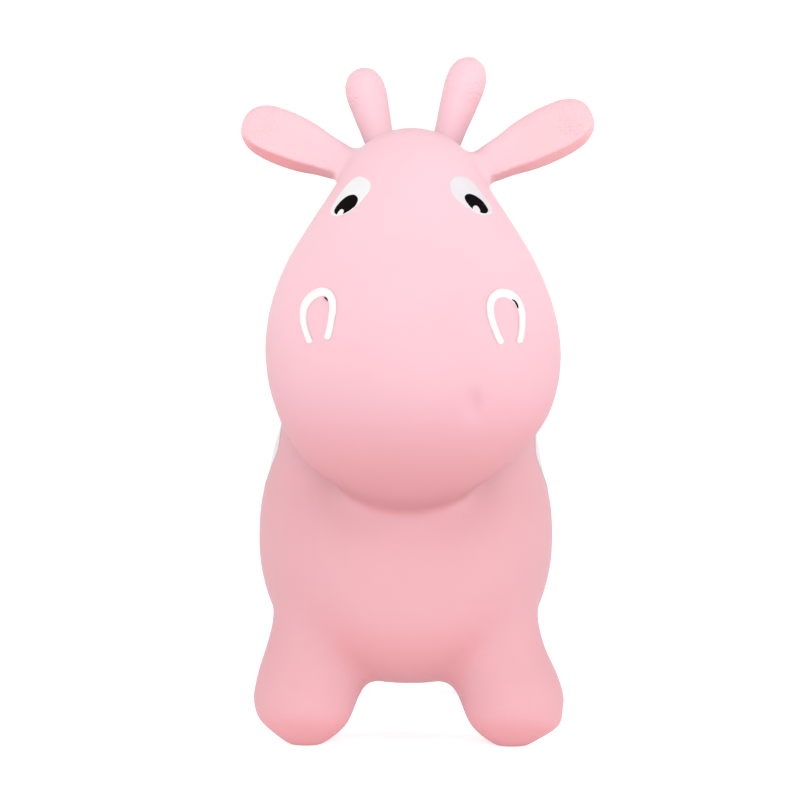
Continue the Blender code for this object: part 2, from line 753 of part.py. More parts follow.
def limb(name, values, seat, finish):
    """A limb and its flexing root: the root sits on the skin, and the limb bends about its middle."""
    joint = values["frame"] @ Vector((0.0, 0.0, values["flex_end"] / 2))
    root_end = values["flex_end"] - FIT_GAP
    limb_piece(name + "_root", values, -values["sink"], root_end, finish, seat=seat)
    limb_piece(name, values, values["flex_end"], values["length"], finish, origin=joint)


def ear(side_name, tree, seat, finish):
    """One ear with its root."""
    side = SIDES[side_name]
    length, aim_share, rise_degrees, sweep_degrees = EARS[side_name]
    rise = math.radians(rise_degrees)
    sweep = math.radians(sweep_degrees)
    level = math.cos(rise)
    along = Vector((side * level * math.cos(sweep), level * math.sin(sweep), math.sin(rise)))
    aim = Vector((side * EAR_AIM_X, CROWN_Y + EAR_AIM_BACK, head_height(aim_share)))
    limb(side_name + "_ear", {
        "frame": limb_frame(aim, along, AXIS_Y, tree),
        "rows": EAR_SHARES,
        "width": EAR_WIDTH,
        "thickness": EAR_THICKNESS,
        "length": length,
        "sink": EAR_SINK,
        "flex_end": EAR_FLEX_END,
        "points": 28,
        "lower": side,
    }, seat, finish)


def horn(side_name, tree, seat, finish):
    """One horn with its root."""
    side = SIDES[side_name]
    length, aim_x, splay_degrees, sweep_degrees = HORNS[side_name]
    splay = math.radians(splay_degrees)
    sweep = math.radians(sweep_degrees)
    upright = math.cos(splay)
    along = Vector((side * math.sin(splay), upright * math.sin(sweep), upright * math.cos(sweep)))
    aim = Vector((side * aim_x, CROWN_Y + HORN_AIM_BACK, head_height(HORN_AIM_SHARE)))
    limb(side_name + "_horn", {
        "frame": limb_frame(aim, along, AXIS_Y, tree),
        "rows": HORN_SHARES,
        "width": HORN_DIAMETER,
        "thickness": HORN_DIAMETER,
        "length": length,
        "sink": HORN_SINK,
        "flex_end": HORN_FLEX_END,
        "points": 20,
        "lower": None,
    }, seat, finish)


def tail(tree, seat, finish):
    """The tail with its root."""
    droop = math.radians(TAIL_DROOP_DEGREES)
    along = Vector((0.0, math.cos(droop), -math.sin(droop)))
    height = BELLY_HEIGHT + (BACK_HEIGHT - BELLY_HEIGHT) * TAIL_AIM_UP_SHARE
    aim = Vector((0.0, along_trunk(TAIL_AIM_ALONG_SHARE), height))
    limb("tail", {
        "frame": limb_frame(aim, along, AXIS_Z, tree),
        "rows": TAIL_SHARES,
        "width": TAIL_DIAMETER,
        "thickness": TAIL_DIAMETER,
        "length": TAIL_LENGTH,
        "sink": TAIL_SINK,
        "flex_end": TAIL_FLEX_END,
        "points": 20,
        "lower": None,
    }, seat, finish)


def turned(name, profile, centre, finish, origin=None):
    """A closed turned piece: a profile of (radius, height) spun round an upright axis."""
    bm = bmesh.new()
    loops = []
    for radius, height in profile:
        if radius == 0:
            loops.append([bm.verts.new(centre + AXIS_Z * height)])
        else:
            ring = oval(centre + AXIS_Z * height, AXIS_X, AXIS_Y, radius, radius,
                        points=TURNED_POINTS)
            loops.append([bm.verts.new(point) for point in ring])
    closed = profile[0][0] > 0
    pairs = list(zip(loops, loops[1:])) + ([(loops[-1], loops[0])] if closed else [])
    for low, high in pairs:
        for i in range(TURNED_POINTS):
            j = (i + 1) % TURNED_POINTS
            corners = [low[i % len(low)], low[j % len(low)],
                       high[j % len(high)], high[i % len(high)]]
            bm.faces.new(list(dict.fromkeys(corners)))
    bmesh.ops.recalc_face_normals(bm, faces=bm.faces)
    return add_object(name, mesh_from(bm, name), finish, origin)


def valve(skin, tree, soft, hard):
    """The seat let into the belly, its plug, and the well in the skin that takes them."""
    below = Vector((0.0, along_trunk(VALVE_ALONG_SHARE), -BELLY_HEIGHT))
    belly, _, _, _ = tree.ray_cast(below, AXIS_Z)
    bore = PLUG_STEM_RADIUS + FIT_GAP
    counterbore = PLUG_FLANGE_RADIUS + FIT_GAP
    sunk = PLUG_FLANGE_THICKNESS - PLUG_LIP
    turned("valve_seat", (
        (counterbore, 0.0), (SEAT_RADIUS, 0.0), (SEAT_RADIUS, SEAT_HEIGHT),
        (bore, SEAT_HEIGHT), (bore, sunk + FIT_GAP), (counterbore, sunk + FIT_GAP)), belly, soft)
    edge = PLUG_LIP / 2
    turned("valve_plug", (
        (0.0, -PLUG_LIP), (PLUG_FLANGE_RADIUS - edge, -PLUG_LIP), (PLUG_FLANGE_RADIUS, -PLUG_LIP + edge),
        (PLUG_FLANGE_RADIUS, sunk), (PLUG_STEM_RADIUS, sunk),
        (PLUG_STEM_RADIUS * PLUG_TAPER_SHARE, sunk + PLUG_STEM_LENGTH - edge),
        (PLUG_STEM_RADIUS * PLUG_TAPER_SHARE - edge, sunk + PLUG_STEM_LENGTH),
        (0.0, sunk + PLUG_STEM_LENGTH)), belly, hard, origin=belly)
    well_radius = SEAT_RADIUS + FIT_GAP
    well = turned("valve_well", (
        (0.0, -CUT_OVERRUN), (well_radius, -CUT_OVERRUN),
        (well_radius, SEAT_HEIGHT + FIT_GAP), (0.0, SEAT_HEIGHT + FIT_GAP)), belly, None)
    well.hide_render = True
    well.display_type = "WIRE"
    cut = skin.modifiers.new("valve well", "BOOLEAN")
    cut.operation = "DIFFERENCE"
    cut.object = well


def helper(name, mesh):
    """A shape that only cuts others, and isn't a piece."""
    made = add_object(name, mesh, None)
    made.hide_render = True
    made.display_type = "WIRE"
    return made


def grown(mesh, distance):
    """A copy of the skin pushed outwards, which cuts what lies on it."""
    made = helper("grown_skin", mesh.copy())
    swell = made.modifiers.new("push outwards", "DISPLACE")
    swell.strength = distance
    swell.mid_level = 0.0
    return made


def main():
    """Build the toy."""
    for old in list(bpy.data.objects):
        bpy.data.objects.remove(old, do_unlink=True)
    pink = material("pink_vinyl", (0.90, 0.48, 0.54), 0.42)
    white = material("white_paint", (0.90, 0.89, 0.88), 0.35)
    black = material("black_paint", (0.010, 0.008, 0.009), 0.18)
    plug_white = material("plug_vinyl", (0.86, 0.84, 0.80), 0.45)
    mesh = body_skin_mesh()
    tree = skin_tree(mesh)
    # Layers over the skin: each gap and each film of paint adds to the one below.
    seat = grown(mesh, FIT_GAP)
    paint_top = grown(mesh, FIT_GAP + PAINT_THICKNESS)
    glint_floor = grown(mesh, 2 * FIT_GAP + PAINT_THICKNESS)
    glint_top = grown(mesh, 2 * (FIT_GAP + PAINT_THICKNESS))
    skin = add_object("body_skin", mesh, pink)
    for side_name in SIDES:
        ear(side_name, tree, seat, pink)
        horn(side_name, tree, seat, pink)
        eye(side_name, tree, (seat, paint_top), (glint_floor, glint_top), white, black)
        nostril(side_name, tree, seat, white)
        patch(side_name, (seat, paint_top), white)
    tail(tree, seat, pink)
    valve(skin, tree, pink, plug_white)


main()
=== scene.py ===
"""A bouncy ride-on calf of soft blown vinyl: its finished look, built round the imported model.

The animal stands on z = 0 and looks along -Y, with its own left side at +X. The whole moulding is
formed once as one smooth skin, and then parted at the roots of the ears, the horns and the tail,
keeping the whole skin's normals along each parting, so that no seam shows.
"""
import json
import math

import bmesh
import bpy
import numpy as np
from mathutils import Matrix, Vector
from mathutils.bvhtree import BVHTree
from mathutils.kdtree import KDTree


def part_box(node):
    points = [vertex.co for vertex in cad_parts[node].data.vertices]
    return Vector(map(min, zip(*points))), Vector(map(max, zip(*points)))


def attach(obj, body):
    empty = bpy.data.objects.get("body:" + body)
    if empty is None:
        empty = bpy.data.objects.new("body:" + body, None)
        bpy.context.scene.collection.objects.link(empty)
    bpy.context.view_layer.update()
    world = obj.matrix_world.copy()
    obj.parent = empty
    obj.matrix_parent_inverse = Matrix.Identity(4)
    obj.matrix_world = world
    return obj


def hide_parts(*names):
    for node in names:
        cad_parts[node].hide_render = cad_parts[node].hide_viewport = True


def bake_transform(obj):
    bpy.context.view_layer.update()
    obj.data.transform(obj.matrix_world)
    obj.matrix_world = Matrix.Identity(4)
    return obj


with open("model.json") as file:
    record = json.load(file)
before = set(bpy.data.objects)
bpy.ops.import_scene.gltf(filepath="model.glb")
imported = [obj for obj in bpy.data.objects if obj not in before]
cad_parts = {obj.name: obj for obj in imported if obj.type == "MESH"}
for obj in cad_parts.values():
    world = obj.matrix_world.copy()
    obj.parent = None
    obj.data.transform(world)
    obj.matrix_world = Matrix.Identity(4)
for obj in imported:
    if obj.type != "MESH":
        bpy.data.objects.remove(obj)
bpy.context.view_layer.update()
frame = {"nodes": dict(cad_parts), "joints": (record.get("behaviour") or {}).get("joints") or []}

# Fineness of the skin, and how far its forms melt into each other.
GRAIN = 0.0025
MELT_SPREAD = 0.0067
SOFT_MELT_SPREAD = 0.0131
RING_POINTS = 64
# The ears, horns and tail get only this much of the melting. That comes in over a short stretch
# along them, and fades between two distances from their middle line, in their own widths.
LIMB_MELT_SHARE = 0.10
FIRM_SPAN = 0.014
FIRM_REACH = (0.72, 0.95)

# Trunk, lying along Y.
TRUNK_LENGTH = 0.442
TRUNK_WIDTH = 0.2485
CHEST_Y = -0.212
BACK_HEIGHT = 0.272
BELLY_HEIGHT = 0.047
TRUNK_SQUARENESS = 2.30
TRUNK_BLUNTNESS = 0.68
# Along the length from chest to rump, then width, back and belly as shares.
TRUNK_SHARES = (
    (0.00, 1.00, 0.80, -0.12),
    (0.22, 1.00, 1.00, -0.09),
    (0.50, 0.89, 0.93, -0.01),
    (0.76, 0.96, 1.03, -0.04),
    (1.00, 0.90, 0.97, 0.18),
)

# Neck, standing in the trunk's shoulders and reaching into the head.
NECK_FOOT_HEIGHT = 0.150
NECK_TOP_HEIGHT = 0.410
NECK_WIDTH = 0.214
NECK_DEPTH = 0.190
NECK_Y = -0.084
NECK_LEAN = 0.030
# Up the neck, then width and depth as shares.
NECK_SHARES = (
    (0.00, 1.00, 0.90),
    (0.20, 0.985, 1.00),
    (0.34, 0.915, 0.95),
    (0.55, 0.78, 0.80),
    (0.80, 0.58, 0.62),
    (1.00, 0.30, 0.34),
)

# Head, an egg that stands on its broad muzzle and leans back to the crown.
HEAD_WIDTH = 0.2165
HEAD_DEPTH = 0.178
CHIN_HEIGHT = 0.181
CROWN_HEIGHT = 0.4655
CHIN_Y = -0.202
CROWN_Y = -0.122
# Latitude from chin to crown as a share, then width, depth and lean back from chin to crown.
HEAD_SHARES = (
    (0.000, 1.00, 0.94, 0.00),
    (0.167, 1.04, 1.00, 0.02),
    (0.333, 1.052, 1.04, 0.07),
    (0.417, 1.026, 1.04, 0.16),
    (0.500, 0.980, 1.02, 0.33),
    (0.583, 0.905, 0.97, 0.56),
    (0.667, 0.800, 0.90, 0.78),
    (0.750, 0.735, 0.84, 0.92),
    (0.833, 0.780, 0.80, 0.98),
    (1.000, 0.900, 0.78, 1.00),
)

# Legs: short, splayed a little, swelling into round feet with a flat sole.
FOOT_RADIUS = 0.0402
FOOT_X = 0.0775
HIP_X = 0.0490
REAR_FOOT_X = 0.0740
LEG_HEIGHT = 0.135
FOOT_BULGE_HEIGHT = 0.036
SOLE_CUT = 0.0035
# Foot and hip of the front and the rear legs, along Y.
LEGS_Y = ((-0.146, -0.126), (0.136, 0.112))
# How far round its hips, its nape and its throat the moulding is softer. So are the outer
# creases over the front feet, and the arch between them.
HIP_SOFTNESS = 0.060
NAPE_SOFTNESS = 0.095
THROAT_SOFTNESS = 0.075
CREASE_PLACE = (0.103, -0.108, 0.096)
CREASE_SOFTNESS = 0.050
ARCH_PLACE = (0.036, -0.136, 0.036)
ARCH_SOFTNESS = 0.034
# In front, the trunk flows down into the legs with no crease at all.
FLOW_PLACE = (0.070, -0.178, 0.088)
FLOW_REACH = 0.050
FLOW_CORE_SHARE = 0.4
FLOW_SPREAD = 0.0150
# From the foot's lowest point to the top of the leg, then radius as a share of the foot's.
LEG_SHARES = (
    (0.000, 0.00),
    (0.008, 0.22),
    (0.025, 0.36),
    (0.052, 0.48),
    (0.100, 0.69),
    (0.160, 0.90),
    (0.213, 0.98),
    (0.270, 1.00),
    (0.330, 1.02),
    (0.400, 1.035),
    (0.476, 1.015),
    (0.560, 0.975),
    (0.670, 1.00),
    (0.800, 1.02),
    (1.000, 1.02),
)

# Each ear: its length from the skin, and how far it rises and sweeps back, in degrees. Each
# horn: its length, and how far it splays outwards and sweeps back.
EARS = {"left": (0.0985, 27.2, 4.0), "right": (0.0947, 22.2, 20.0)}
HORNS = {"left": (0.0803, 17.4, 4.0), "right": (0.0729, 15.2, 14.0)}
TAIL_LENGTH = 0.062
TAIL_DROOP_DEGREES = 38.0
# Along each from inside the body to its tip, then width and thickness as shares.
EAR_SHARES = (
    (0.00, 0.86, 1.00),
    (0.22, 0.66, 0.80),
    (0.36, 0.72, 0.82),
    (0.52, 0.89, 0.92),
    (0.68, 0.965, 1.00),
    (0.80, 0.945, 1.00),
    (0.87, 0.880, 0.94),
    (0.93, 0.730, 0.80),
    (0.97, 0.520, 0.58),
    (0.99, 0.300, 0.34),
    (1.00, 0.06, 0.06),
)
HORN_SHARES = (
    (0.00, 0.74),
    (0.20, 0.70),
    (0.40, 0.76),
    (0.62, 0.92),
    (0.78, 1.00),
    (0.90, 0.86),
    (0.97, 0.50),
    (1.00, 0.08),
)
TAIL_SHARES = (
    (0.00, 0.90),
    (0.30, 0.70),
    (0.50, 0.68),
    (0.70, 0.92),
    (0.82, 1.00),
    (0.92, 0.84),
    (0.98, 0.45),
    (1.00, 0.08),
)
EAR_PLAIN_ROOT_SHARE = 0.14
EAR_CREASE_DEGREES = -51.0
# Round the ear from the crease: share of a turn, then how far down and how far back, as shares
# of its half sizes. The front is flat above the crease, and the underside turns in below it.
EAR_SECTION_SHARES = (
    (0.00, 0.68, -0.84),
    (0.05, 0.86, -0.38),
    (0.10, 1.00, 0.06),
    (0.18, 0.94, 0.52),
    (0.27, 0.55, 0.90),
    (0.36, 0.00, 1.00),
    (0.45, -0.52, 0.90),
    (0.54, -0.89, 0.54),
    (0.62, -1.00, 0.04),
    (0.69, -0.92, -0.38),
    (0.76, -0.66, -0.62),
    (0.86, -0.14, -0.68),
    (0.94, 0.34, -0.72),
    (1.00, 0.68, -0.84),
)
PART_HEIGHT = 0.005         # where a limb is parted from the skin, along the limb
PART_REACH = 0.66           # and how far round it, in its own widths
TIP_ROOM = 1.1              # its faces end before this share of its length
# Where along a limb its own exact form starts to show, and where it has come in.
FORM_FROM = 0.006
FORM_FULL = 0.016
# Skin that is further than this from a limb's form is the crown's, up to this far along it.
FORM_NEAR = 0.0016
CROWN_REACH = (0.020, 0.032)
# A small clearance beyond a limb's open edge.
BEND_CLEARANCE = 0.0005

# Pimples on the tips of the ears, the horns and the tail: their spacing, then that of their rows
# and how far each strays from its place, both as shares of it.
PIMPLE_PITCH = 0.0027
PIMPLE_ROW_SHARE = 0.87
PIMPLE_STRAY = 0.28
PIMPLE_RADIUS = 0.0019
PIMPLE_TALLNESS = (0.60, 1.0)
PIMPLE_FADE = 0.22          # along this share of a limb they come in
PIMPLE_MARGIN = 0.04        # and this share before them its faces are finer already

# Eyes, as seen straight from the front: outlines by their distance from the midline and their
# height, from the top round by the outer side.
EYE_WHITES = {
    "left": (
        (0.0353, 0.4267), (0.0410, 0.4254), (0.0459, 0.4214), (0.0503, 0.4162),
        (0.0546, 0.4106), (0.0577, 0.4062), (0.0595, 0.4024), (0.0588, 0.3992),
        (0.0554, 0.3976), (0.0516, 0.3974), (0.0472, 0.3989), (0.0423, 0.4018),
        (0.0374, 0.4049), (0.0331, 0.4086), (0.0295, 0.4129), (0.0277, 0.4179),
        (0.0280, 0.4224), (0.0308, 0.4257)),
    "right": (
        (0.0374, 0.4263), (0.0424, 0.4252), (0.0468, 0.4218), (0.0511, 0.4168),
        (0.0548, 0.4118), (0.0577, 0.4067), (0.0598, 0.4023), (0.0603, 0.3991),
        (0.0587, 0.3969), (0.0549, 0.3961), (0.0493, 0.3976), (0.0451, 0.4001),
        (0.0414, 0.4032), (0.0383, 0.4063), (0.0353, 0.4101), (0.0323, 0.4138),
        (0.0306, 0.4182), (0.0318, 0.4227)),
}
PUPILS = {
    "left": (
        (0.0413, 0.4134), (0.0445, 0.4130), (0.0482, 0.4112), (0.0520, 0.4082),
        (0.0550, 0.4041), (0.0563, 0.4011), (0.0548, 0.3989), (0.0517, 0.3988),
        (0.0472, 0.4002), (0.0435, 0.4025), (0.0405, 0.4060), (0.0386, 0.4093),
        (0.0388, 0.4119)),
    "right": (
        (0.0425, 0.4122), (0.0453, 0.4121), (0.0484, 0.4109), (0.0521, 0.4079),
        (0.0551, 0.4044), (0.0572, 0.4010), (0.0571, 0.3984), (0.0549, 0.3970),
        (0.0515, 0.3972), (0.0475, 0.3990), (0.0444, 0.4011), (0.0414, 0.4038),
        (0.0397, 0.4076), (0.0402, 0.4104)),
}
GLINTS = {
    "left": (
        (0.0458, 0.4043), (0.0477, 0.4041), (0.0491, 0.4025), (0.0499, 0.4008),
        (0.0497, 0.3990), (0.0472, 0.3995), (0.0447, 0.4012), (0.0445, 0.4032)),
    "right": (
        (0.0513, 0.4012), (0.0528, 0.4004), (0.0543, 0.3986), (0.0548, 0.3968),
        (0.0530, 0.3964), (0.0513, 0.3966), (0.0503, 0.3984), (0.0500, 0.4002)),
}
PAINT_HEIGHT = 0.00035
OVERPAINT_HEIGHT = 0.0002   # a second coat over the first
PAINT_SINK = 0.0004
# A film's edge: how far in, in widths of the edge, and how much of its height is left there.
FILM_EDGE = ((1.8, 0.96), (0.8, 0.80), (0.2, 0.5))

# Nostril rims in the front view: across from the midline and height, from end to end.
NOSTRIL_PATHS = {
    "left": (
        (0.0643, 0.3039), (0.0616, 0.3087), (0.0592, 0.3146), (0.0572, 0.3204),
        (0.0560, 0.3264), (0.0560, 0.3316), (0.0577, 0.3365), (0.0611, 0.3395),
        (0.0657, 0.3403), (0.0707, 0.3389), (0.0747, 0.3356), (0.0774, 0.3311),
        (0.0789, 0.3257), (0.0790, 0.3198), (0.0786, 0.3139), (0.0777, 0.3091),
        (0.0766, 0.3044)),
    "right": (
        (0.0723, 0.3035), (0.0748, 0.3095), (0.0769, 0.3153), (0.0780, 0.3212),
        (0.0779, 0.3266), (0.0765, 0.3314), (0.0735, 0.3356), (0.0693, 0.3389),
        (0.0639, 0.3405), (0.0597, 0.3387), (0.0573, 0.3346), (0.0566, 0.3286),
        (0.0574, 0.3222), (0.0583, 0.3162), (0.0597, 0.3097), (0.0610, 0.3062)),
}
# Black flecks inside the rims: middle line, and width, in the front view.
NOSTRIL_FLECKS = {
    "left": (((0.0712, 0.3354), (0.0731, 0.3343), (0.0749, 0.3318), (0.0759, 0.3287)), 0.0012),
    "right": (((0.0630, 0.3362), (0.0616, 0.3356), (0.0604, 0.3338)), 0.0008),
}
RIM_WIDTH = 0.0044
RIM_HEIGHT = 0.0020
RIM_CROWN_SHARE = 0.45

# The well in the belly for the air valve's seat.
WELL_RADIUS = 0.01425
WELL_FROM_HEIGHT = 0.02     # this is below the belly, in the air

# Painted patches on the flanks. Twelve shares of their half sizes give the outline.
PATCH_Y = -0.0515
PATCH_LENGTH = 0.150
PATCH_GIRTH = 0.076
PATCH_DEGREES = 31.0
PATCH_OUTLINE_SHARES = (0.95, 0.96, 0.95, 0.84, 0.78, 0.84, 0.87, 0.78, 0.82, 0.95, 0.99, 0.98)
PATCH_EDGE_SHARE = 0.00002546

# How the blown skin stands: its trunk a little to its right, and its muzzle fuller on its left.
TRUNK_LEAN = -0.0026
MUZZLE_FULLNESS = 0.0034
FOOT_FULLNESS = 0.0040
FULL_FOOT_HEIGHT = 0.0130
FULL_FOOT_SPREAD = 0.0095
FULL_FOOT_EDGE = 0.028
SETTLED_SHARE = 0.9972
# Where these come in and fade: up the toy, along it, and across it.
TRUNK_LEAN_FROM = (0.035, 0.080)
TRUNK_LEAN_TO = (0.215, 0.260)
TRUNK_LEAN_Y = (-0.245, -0.200)
MUZZLE_FULL_FROM = (0.190, 0.250)
MUZZLE_FULL_TO = (0.270, 0.370)
MUZZLE_FULL_Y = (-0.180, -0.120)
MUZZLE_FULL_X = (-0.11, 0.11)

# A small dent in the soft muzzle.
DENT_PLACE = (0.0438, -0.2695, 0.2620)
DENT_REACH = (0.0060, 0.0200, 0.0110)
DENT_DEPTH = 0.0032

# Colours. A pair goes from a paint's full colour to where it is thin, or from dark to light.
BODY_PINK = (0.446, 0.236, 0.258, 1)
MUZZLE_PINK = (0.456, 0.250, 0.283, 1)
# The crown's paler pink is partly the vinyl's own tint and partly painted light, where the head
# catches the most light.
CROWN_PINK_AND_PAINTED_LIGHT = (0.545, 0.350, 0.388, 1)
LEFT_EAR_PINK = (0.550, 0.334, 0.360, 1)
RIGHT_EAR_PINK = (0.555, 0.347, 0.375, 1)
# Painted shade: darker pinks for all that faces down, on the body and on the ears, horns and tail.
BODY_PAINTED_SHADE = (0.472, 0.190, 0.203, 1)
LIMB_PAINTED_SHADE = (0.540, 0.231, 0.241, 1)
MOTTLE_PINK = (0.396, 0.185, 0.205, 1)
WHITE_PAINTS = {
    "left_eye_paint": ((0.462, 0.446, 0.462, 1), (0.440, 0.424, 0.440, 1)),
    "right_eye_paint": ((0.508, 0.504, 0.508, 1), (0.484, 0.479, 0.484, 1)),
    "nostril_rim_paint": ((0.566, 0.522, 0.523, 1), (0.540, 0.487, 0.491, 1)),
    # The flank patches' white is greyer than the other whites: painted shade, as the flanks lie in
    # shade.
    "flank_patch_paint_with_painted_shade": ((0.440, 0.426, 0.428, 1), (0.410, 0.392, 0.396, 1)),
}
# Between these heights come in the pink of the muzzle, the paler crown pink with its painted light,
# the pink of the ears and the painted shade on the horns. Between these squares of the distance
# from the midline comes in that of the ears.
MUZZLE_PINK_HEIGHTS = (0.190, 0.260)
CROWN_PINK_HEIGHTS = (0.20, 0.40)
EAR_PINK_HEIGHTS = (0.40, 0.43)
HORN_PAINTED_SHADE_HEIGHTS = (0.455, 0.490)
EAR_PINK_SQUARES = (0.0030, 0.0085)
BLACKS = ((0.0025, 0.0015, 0.0018, 1), (0.005, 0.003, 0.004, 1))
MILKY_WHITES = ((0.80, 0.78, 0.73, 1), (0.87, 0.85, 0.80, 1))
PAPER_WHITES = ((0.74, 0.74, 0.74, 1), (0.93, 0.93, 0.93, 1))

# The paper sweep: along Y, where it starts and where its flat part ends, then its curve.
SWEEP_FROM = -4.0
SWEEP_FLAT_TO = 3.2
SWEEP_RADIUS = 0.9
SWEEP_TOP = 3.6
SWEEP_WIDTH = 9.0
# The paper glows under the toy though it is no lamp: painted light that lifts the toy's shadow off
# the paper and lights the toy from below. Below are its strength, the squares of the distance from
# the middle between which it fades, and how much the distance along the toy counts. Towards its
# front the paper is a little darker, which comes in between two places along Y.
PAPER_GLOW = 0.46
GLOW_SQUARES = (0.008, 0.060)
GLOW_ALONG_SHARE = 0.35
PAPER_FRONT_Y = (-0.75, -0.35)
WORLD_STRENGTH = 1.22
# Place, aim, size and power of each softbox.
LIGHTS = (
    ("front_softbox", (0.0, -3.2, 0.9), (0.0, -0.1, 0.28), 1.0, 41.0),
    ("right_softbox", (-2.2, -1.2, 1.0), (0.0, 0.0, 0.25), 1.4, 23.5),
    ("left_softbox", (2.2, -1.2, 1.0), (0.0, 0.0, 0.25), 1.4, 31.8),
)
# The camera looks at its aim from this far off, a little from the side and from above.
CAMERA_AIM = (0.0, -0.016, 0.2545)
CAMERA_DISTANCE = 2.35
CAMERA_TURN_DEGREES = 0.35
CAMERA_DOWN_DEGREES = 2.24
CAMERA_ROLL_DEGREES = 0.35
SENSOR_WIDTH_MM = 36.0
LENS_MM = 133.0
LENS_SHIFT = -0.0119

SIDES = {"left": 1.0, "right": -1.0}
AXIS_X = Vector((1.0, 0.0, 0.0))
AXIS_Y = Vector((0.0, 1.0, 0.0))
AXIS_Z = Vector((0.0, 0.0, 1.0))


class Limb:
    """An ear, a horn or the tail: its joint, its form, and its frame at the skin.

    The frame has X across the limb, Y out of its back and Z along it. Each kind of limb sets its
    rows of shares, its full width and thickness, how deep inside the skin it starts, how far up
    its root bends, from where on it stays firm, and where its pimples start and how tall they are.
    """

    def __init__(self, body, along, face, length):
        joint = next(j for j in frame["joints"] if j["child"] == body)
        self.body = body
        self.length = length
        self.along = along.normalized()
        across = face.cross(self.along).normalized()
        back = self.along.cross(across)
        self.root = Vector(joint["pos_m"]) - self.along * self.flex_end / 2
        self.matrix = Matrix((across, back, self.along)).transposed().to_4x4()
        self.matrix.translation = self.root

    def local(self, points):
        """Points in the limb's own frame."""
        turn = np.array(self.matrix.to_3x3())
        return (points - np.array(self.root)) @ turn

    def outline(self, turn, share):
        """Across and back of a section at a share of a turn, as shares of its half sizes."""
        return math.cos(math.tau * turn), math.sin(math.tau * turn)

    def pimpled(self, normal):
        """How far the pimples come out where the skin faces this way: fully, on most limbs."""
        return 1.0

    def section(self, share, count=RING_POINTS):
        """Ring of the limb at a share from inside the body to its tip."""
        values = through(self.rows, share)
        half_width = self.width * float(values[0]) / 2
        half_thickness = self.thickness * float(values[-1]) / 2
        z = -self.sink + (self.length + self.sink) * share
        ring = []
        for i in range(count):
            across, back = self.outline(i / count, share)
            ring.append(self.matrix @ Vector((across * half_width, back * half_thickness, z)))
        return ring

    def rings(self, count=44, points=RING_POINTS):
        """Rings from inside the body to the tip, closer together at the tip."""
        return [self.section(math.sin(math.pi / 2 * i / count), points) for i in range(count + 1)]

    def form(self):
        """The limb's exact form, to draw points onto."""
        bm = bmesh.new()
        loft(bm, self.rings(count=110, points=150))
        tree = BVHTree.FromBMesh(bm)
        bm.free()
        return tree


class Ear(Limb):
    """An ear grip: a fat paddle with a flat front and a crease along its lower front edge."""

    rows = EAR_SHARES
    width = 0.0430
    thickness = 0.0300
    sink = 0.022
    flex_end = 0.0200
    firm_from = -0.002
    pimpled_from = 0.60
    pimple_height = 0.00080
    # The underside is plain: the pimples fade out between these downward parts of its direction.
    plain_underside = (-0.75, -0.30)

    def __init__(self, side_name, length, rise_degrees, sweep_degrees):
        self.side = SIDES[side_name]
        rise, sweep = math.radians(rise_degrees), math.radians(sweep_degrees)
        out = self.side * math.cos(rise) * math.cos(sweep)
        along = Vector((out, math.cos(rise) * math.sin(sweep), math.sin(rise)))
        super().__init__(side_name + "_ear", along, AXIS_Y, length)

    def outline(self, turn, share):
        """A section's outline, which is round at the root and at the very tip."""
        angle = math.tau * turn + math.radians(EAR_CREASE_DEGREES)
        across = math.cos(angle)
        back = math.sin(angle)
        # How far the flat front and the crease have come in between the root and the tip.
        come_in = min(1.0, 8 * max(0.0, share - EAR_PLAIN_ROOT_SHARE)) * min(1.0, 5 * (1 - share))
        shaped_across, shaped_back = through(EAR_SECTION_SHARES, turn)
        across += (float(shaped_across) - across) * come_in
        back += (float(shaped_back) - back) * come_in
        return self.side * across, back

    def pimpled(self, normal):
        """How far the pimples come out where the skin faces this way."""
        return float(smooth_step(*self.plain_underside, normal.z))


class Horn(Limb):
    """A horn: a stub with a fuller tip."""

    rows = HORN_SHARES
    width = 0.0312
    thickness = 0.0325
    sink = 0.020
    flex_end = 0.0170
    firm_from = -0.016
    pimpled_from = 0.52
    pimple_height = 0.00045

    def __init__(self, side_name, length, splay_degrees, sweep_degrees):
        splay, sweep = math.radians(splay_degrees), math.radians(sweep_degrees)
        out = SIDES[side_name] * math.sin(splay)
        along = Vector((out, math.cos(splay) * math.sin(sweep), math.cos(splay) * math.cos(sweep)))
        super().__init__(side_name + "_horn", along, AXIS_Y, length)


class Tail(Limb):
    """The tail: it hangs from the rump and ends in a round tuft."""

    rows = TAIL_SHARES
    width = 0.0270
    thickness = 0.0270
    sink = 0.020
    flex_end = 0.0170
    firm_from = -0.002
    pimpled_from = 0.62
    pimple_height = 0.00045

    def __init__(self):
        droop = math.radians(TAIL_DROOP_DEGREES)
        along = Vector((0.0, math.cos(droop), -math.sin(droop)))
        super().__init__("tail", along, AXIS_Z, TAIL_LENGTH)


def through(rows, share):
    """Values at a share along given rows, on one smooth curve through them."""
    table = np.array(rows)
    places = table[:, 0]
    values = table[:, 1:]
    slopes = np.gradient(values, places, axis=0)
    i = int(np.clip(np.searchsorted(places, share, side="right") - 1, 0, len(places) - 2))
    span = places[i + 1] - places[i]
    t = (share - places[i]) / span
    start = (1 + 2 * t) * (1 - t) ** 2 * values[i] + t * (1 - t) ** 2 * span * slopes[i]
    end = t * t * (3 - 2 * t) * values[i + 1] + t * t * (t - 1) * span * slopes[i + 1]
    return start + end


def smooth_step(low, high, value):
    """From 0 at low to 1 at high, without a kink."""
    t = np.clip((value - low) / (high - low), 0.0, 1.0)
    return t * t * (3 - 2 * t)


def oval(centre, side, up, half_width, half_height, squareness=2.0):
    """A ring of points round a centre, an ellipse or a squarer oval."""
    ring = []
    for i in range(RING_POINTS):
        angle = math.tau * i / RING_POINTS
        across = math.copysign(abs(math.cos(angle)) ** (2 / squareness), math.cos(angle))
        along = math.copysign(abs(math.sin(angle)) ** (2 / squareness), math.sin(angle))
        ring.append(centre + side * (across * half_width) + up * (along * half_height))
    return ring


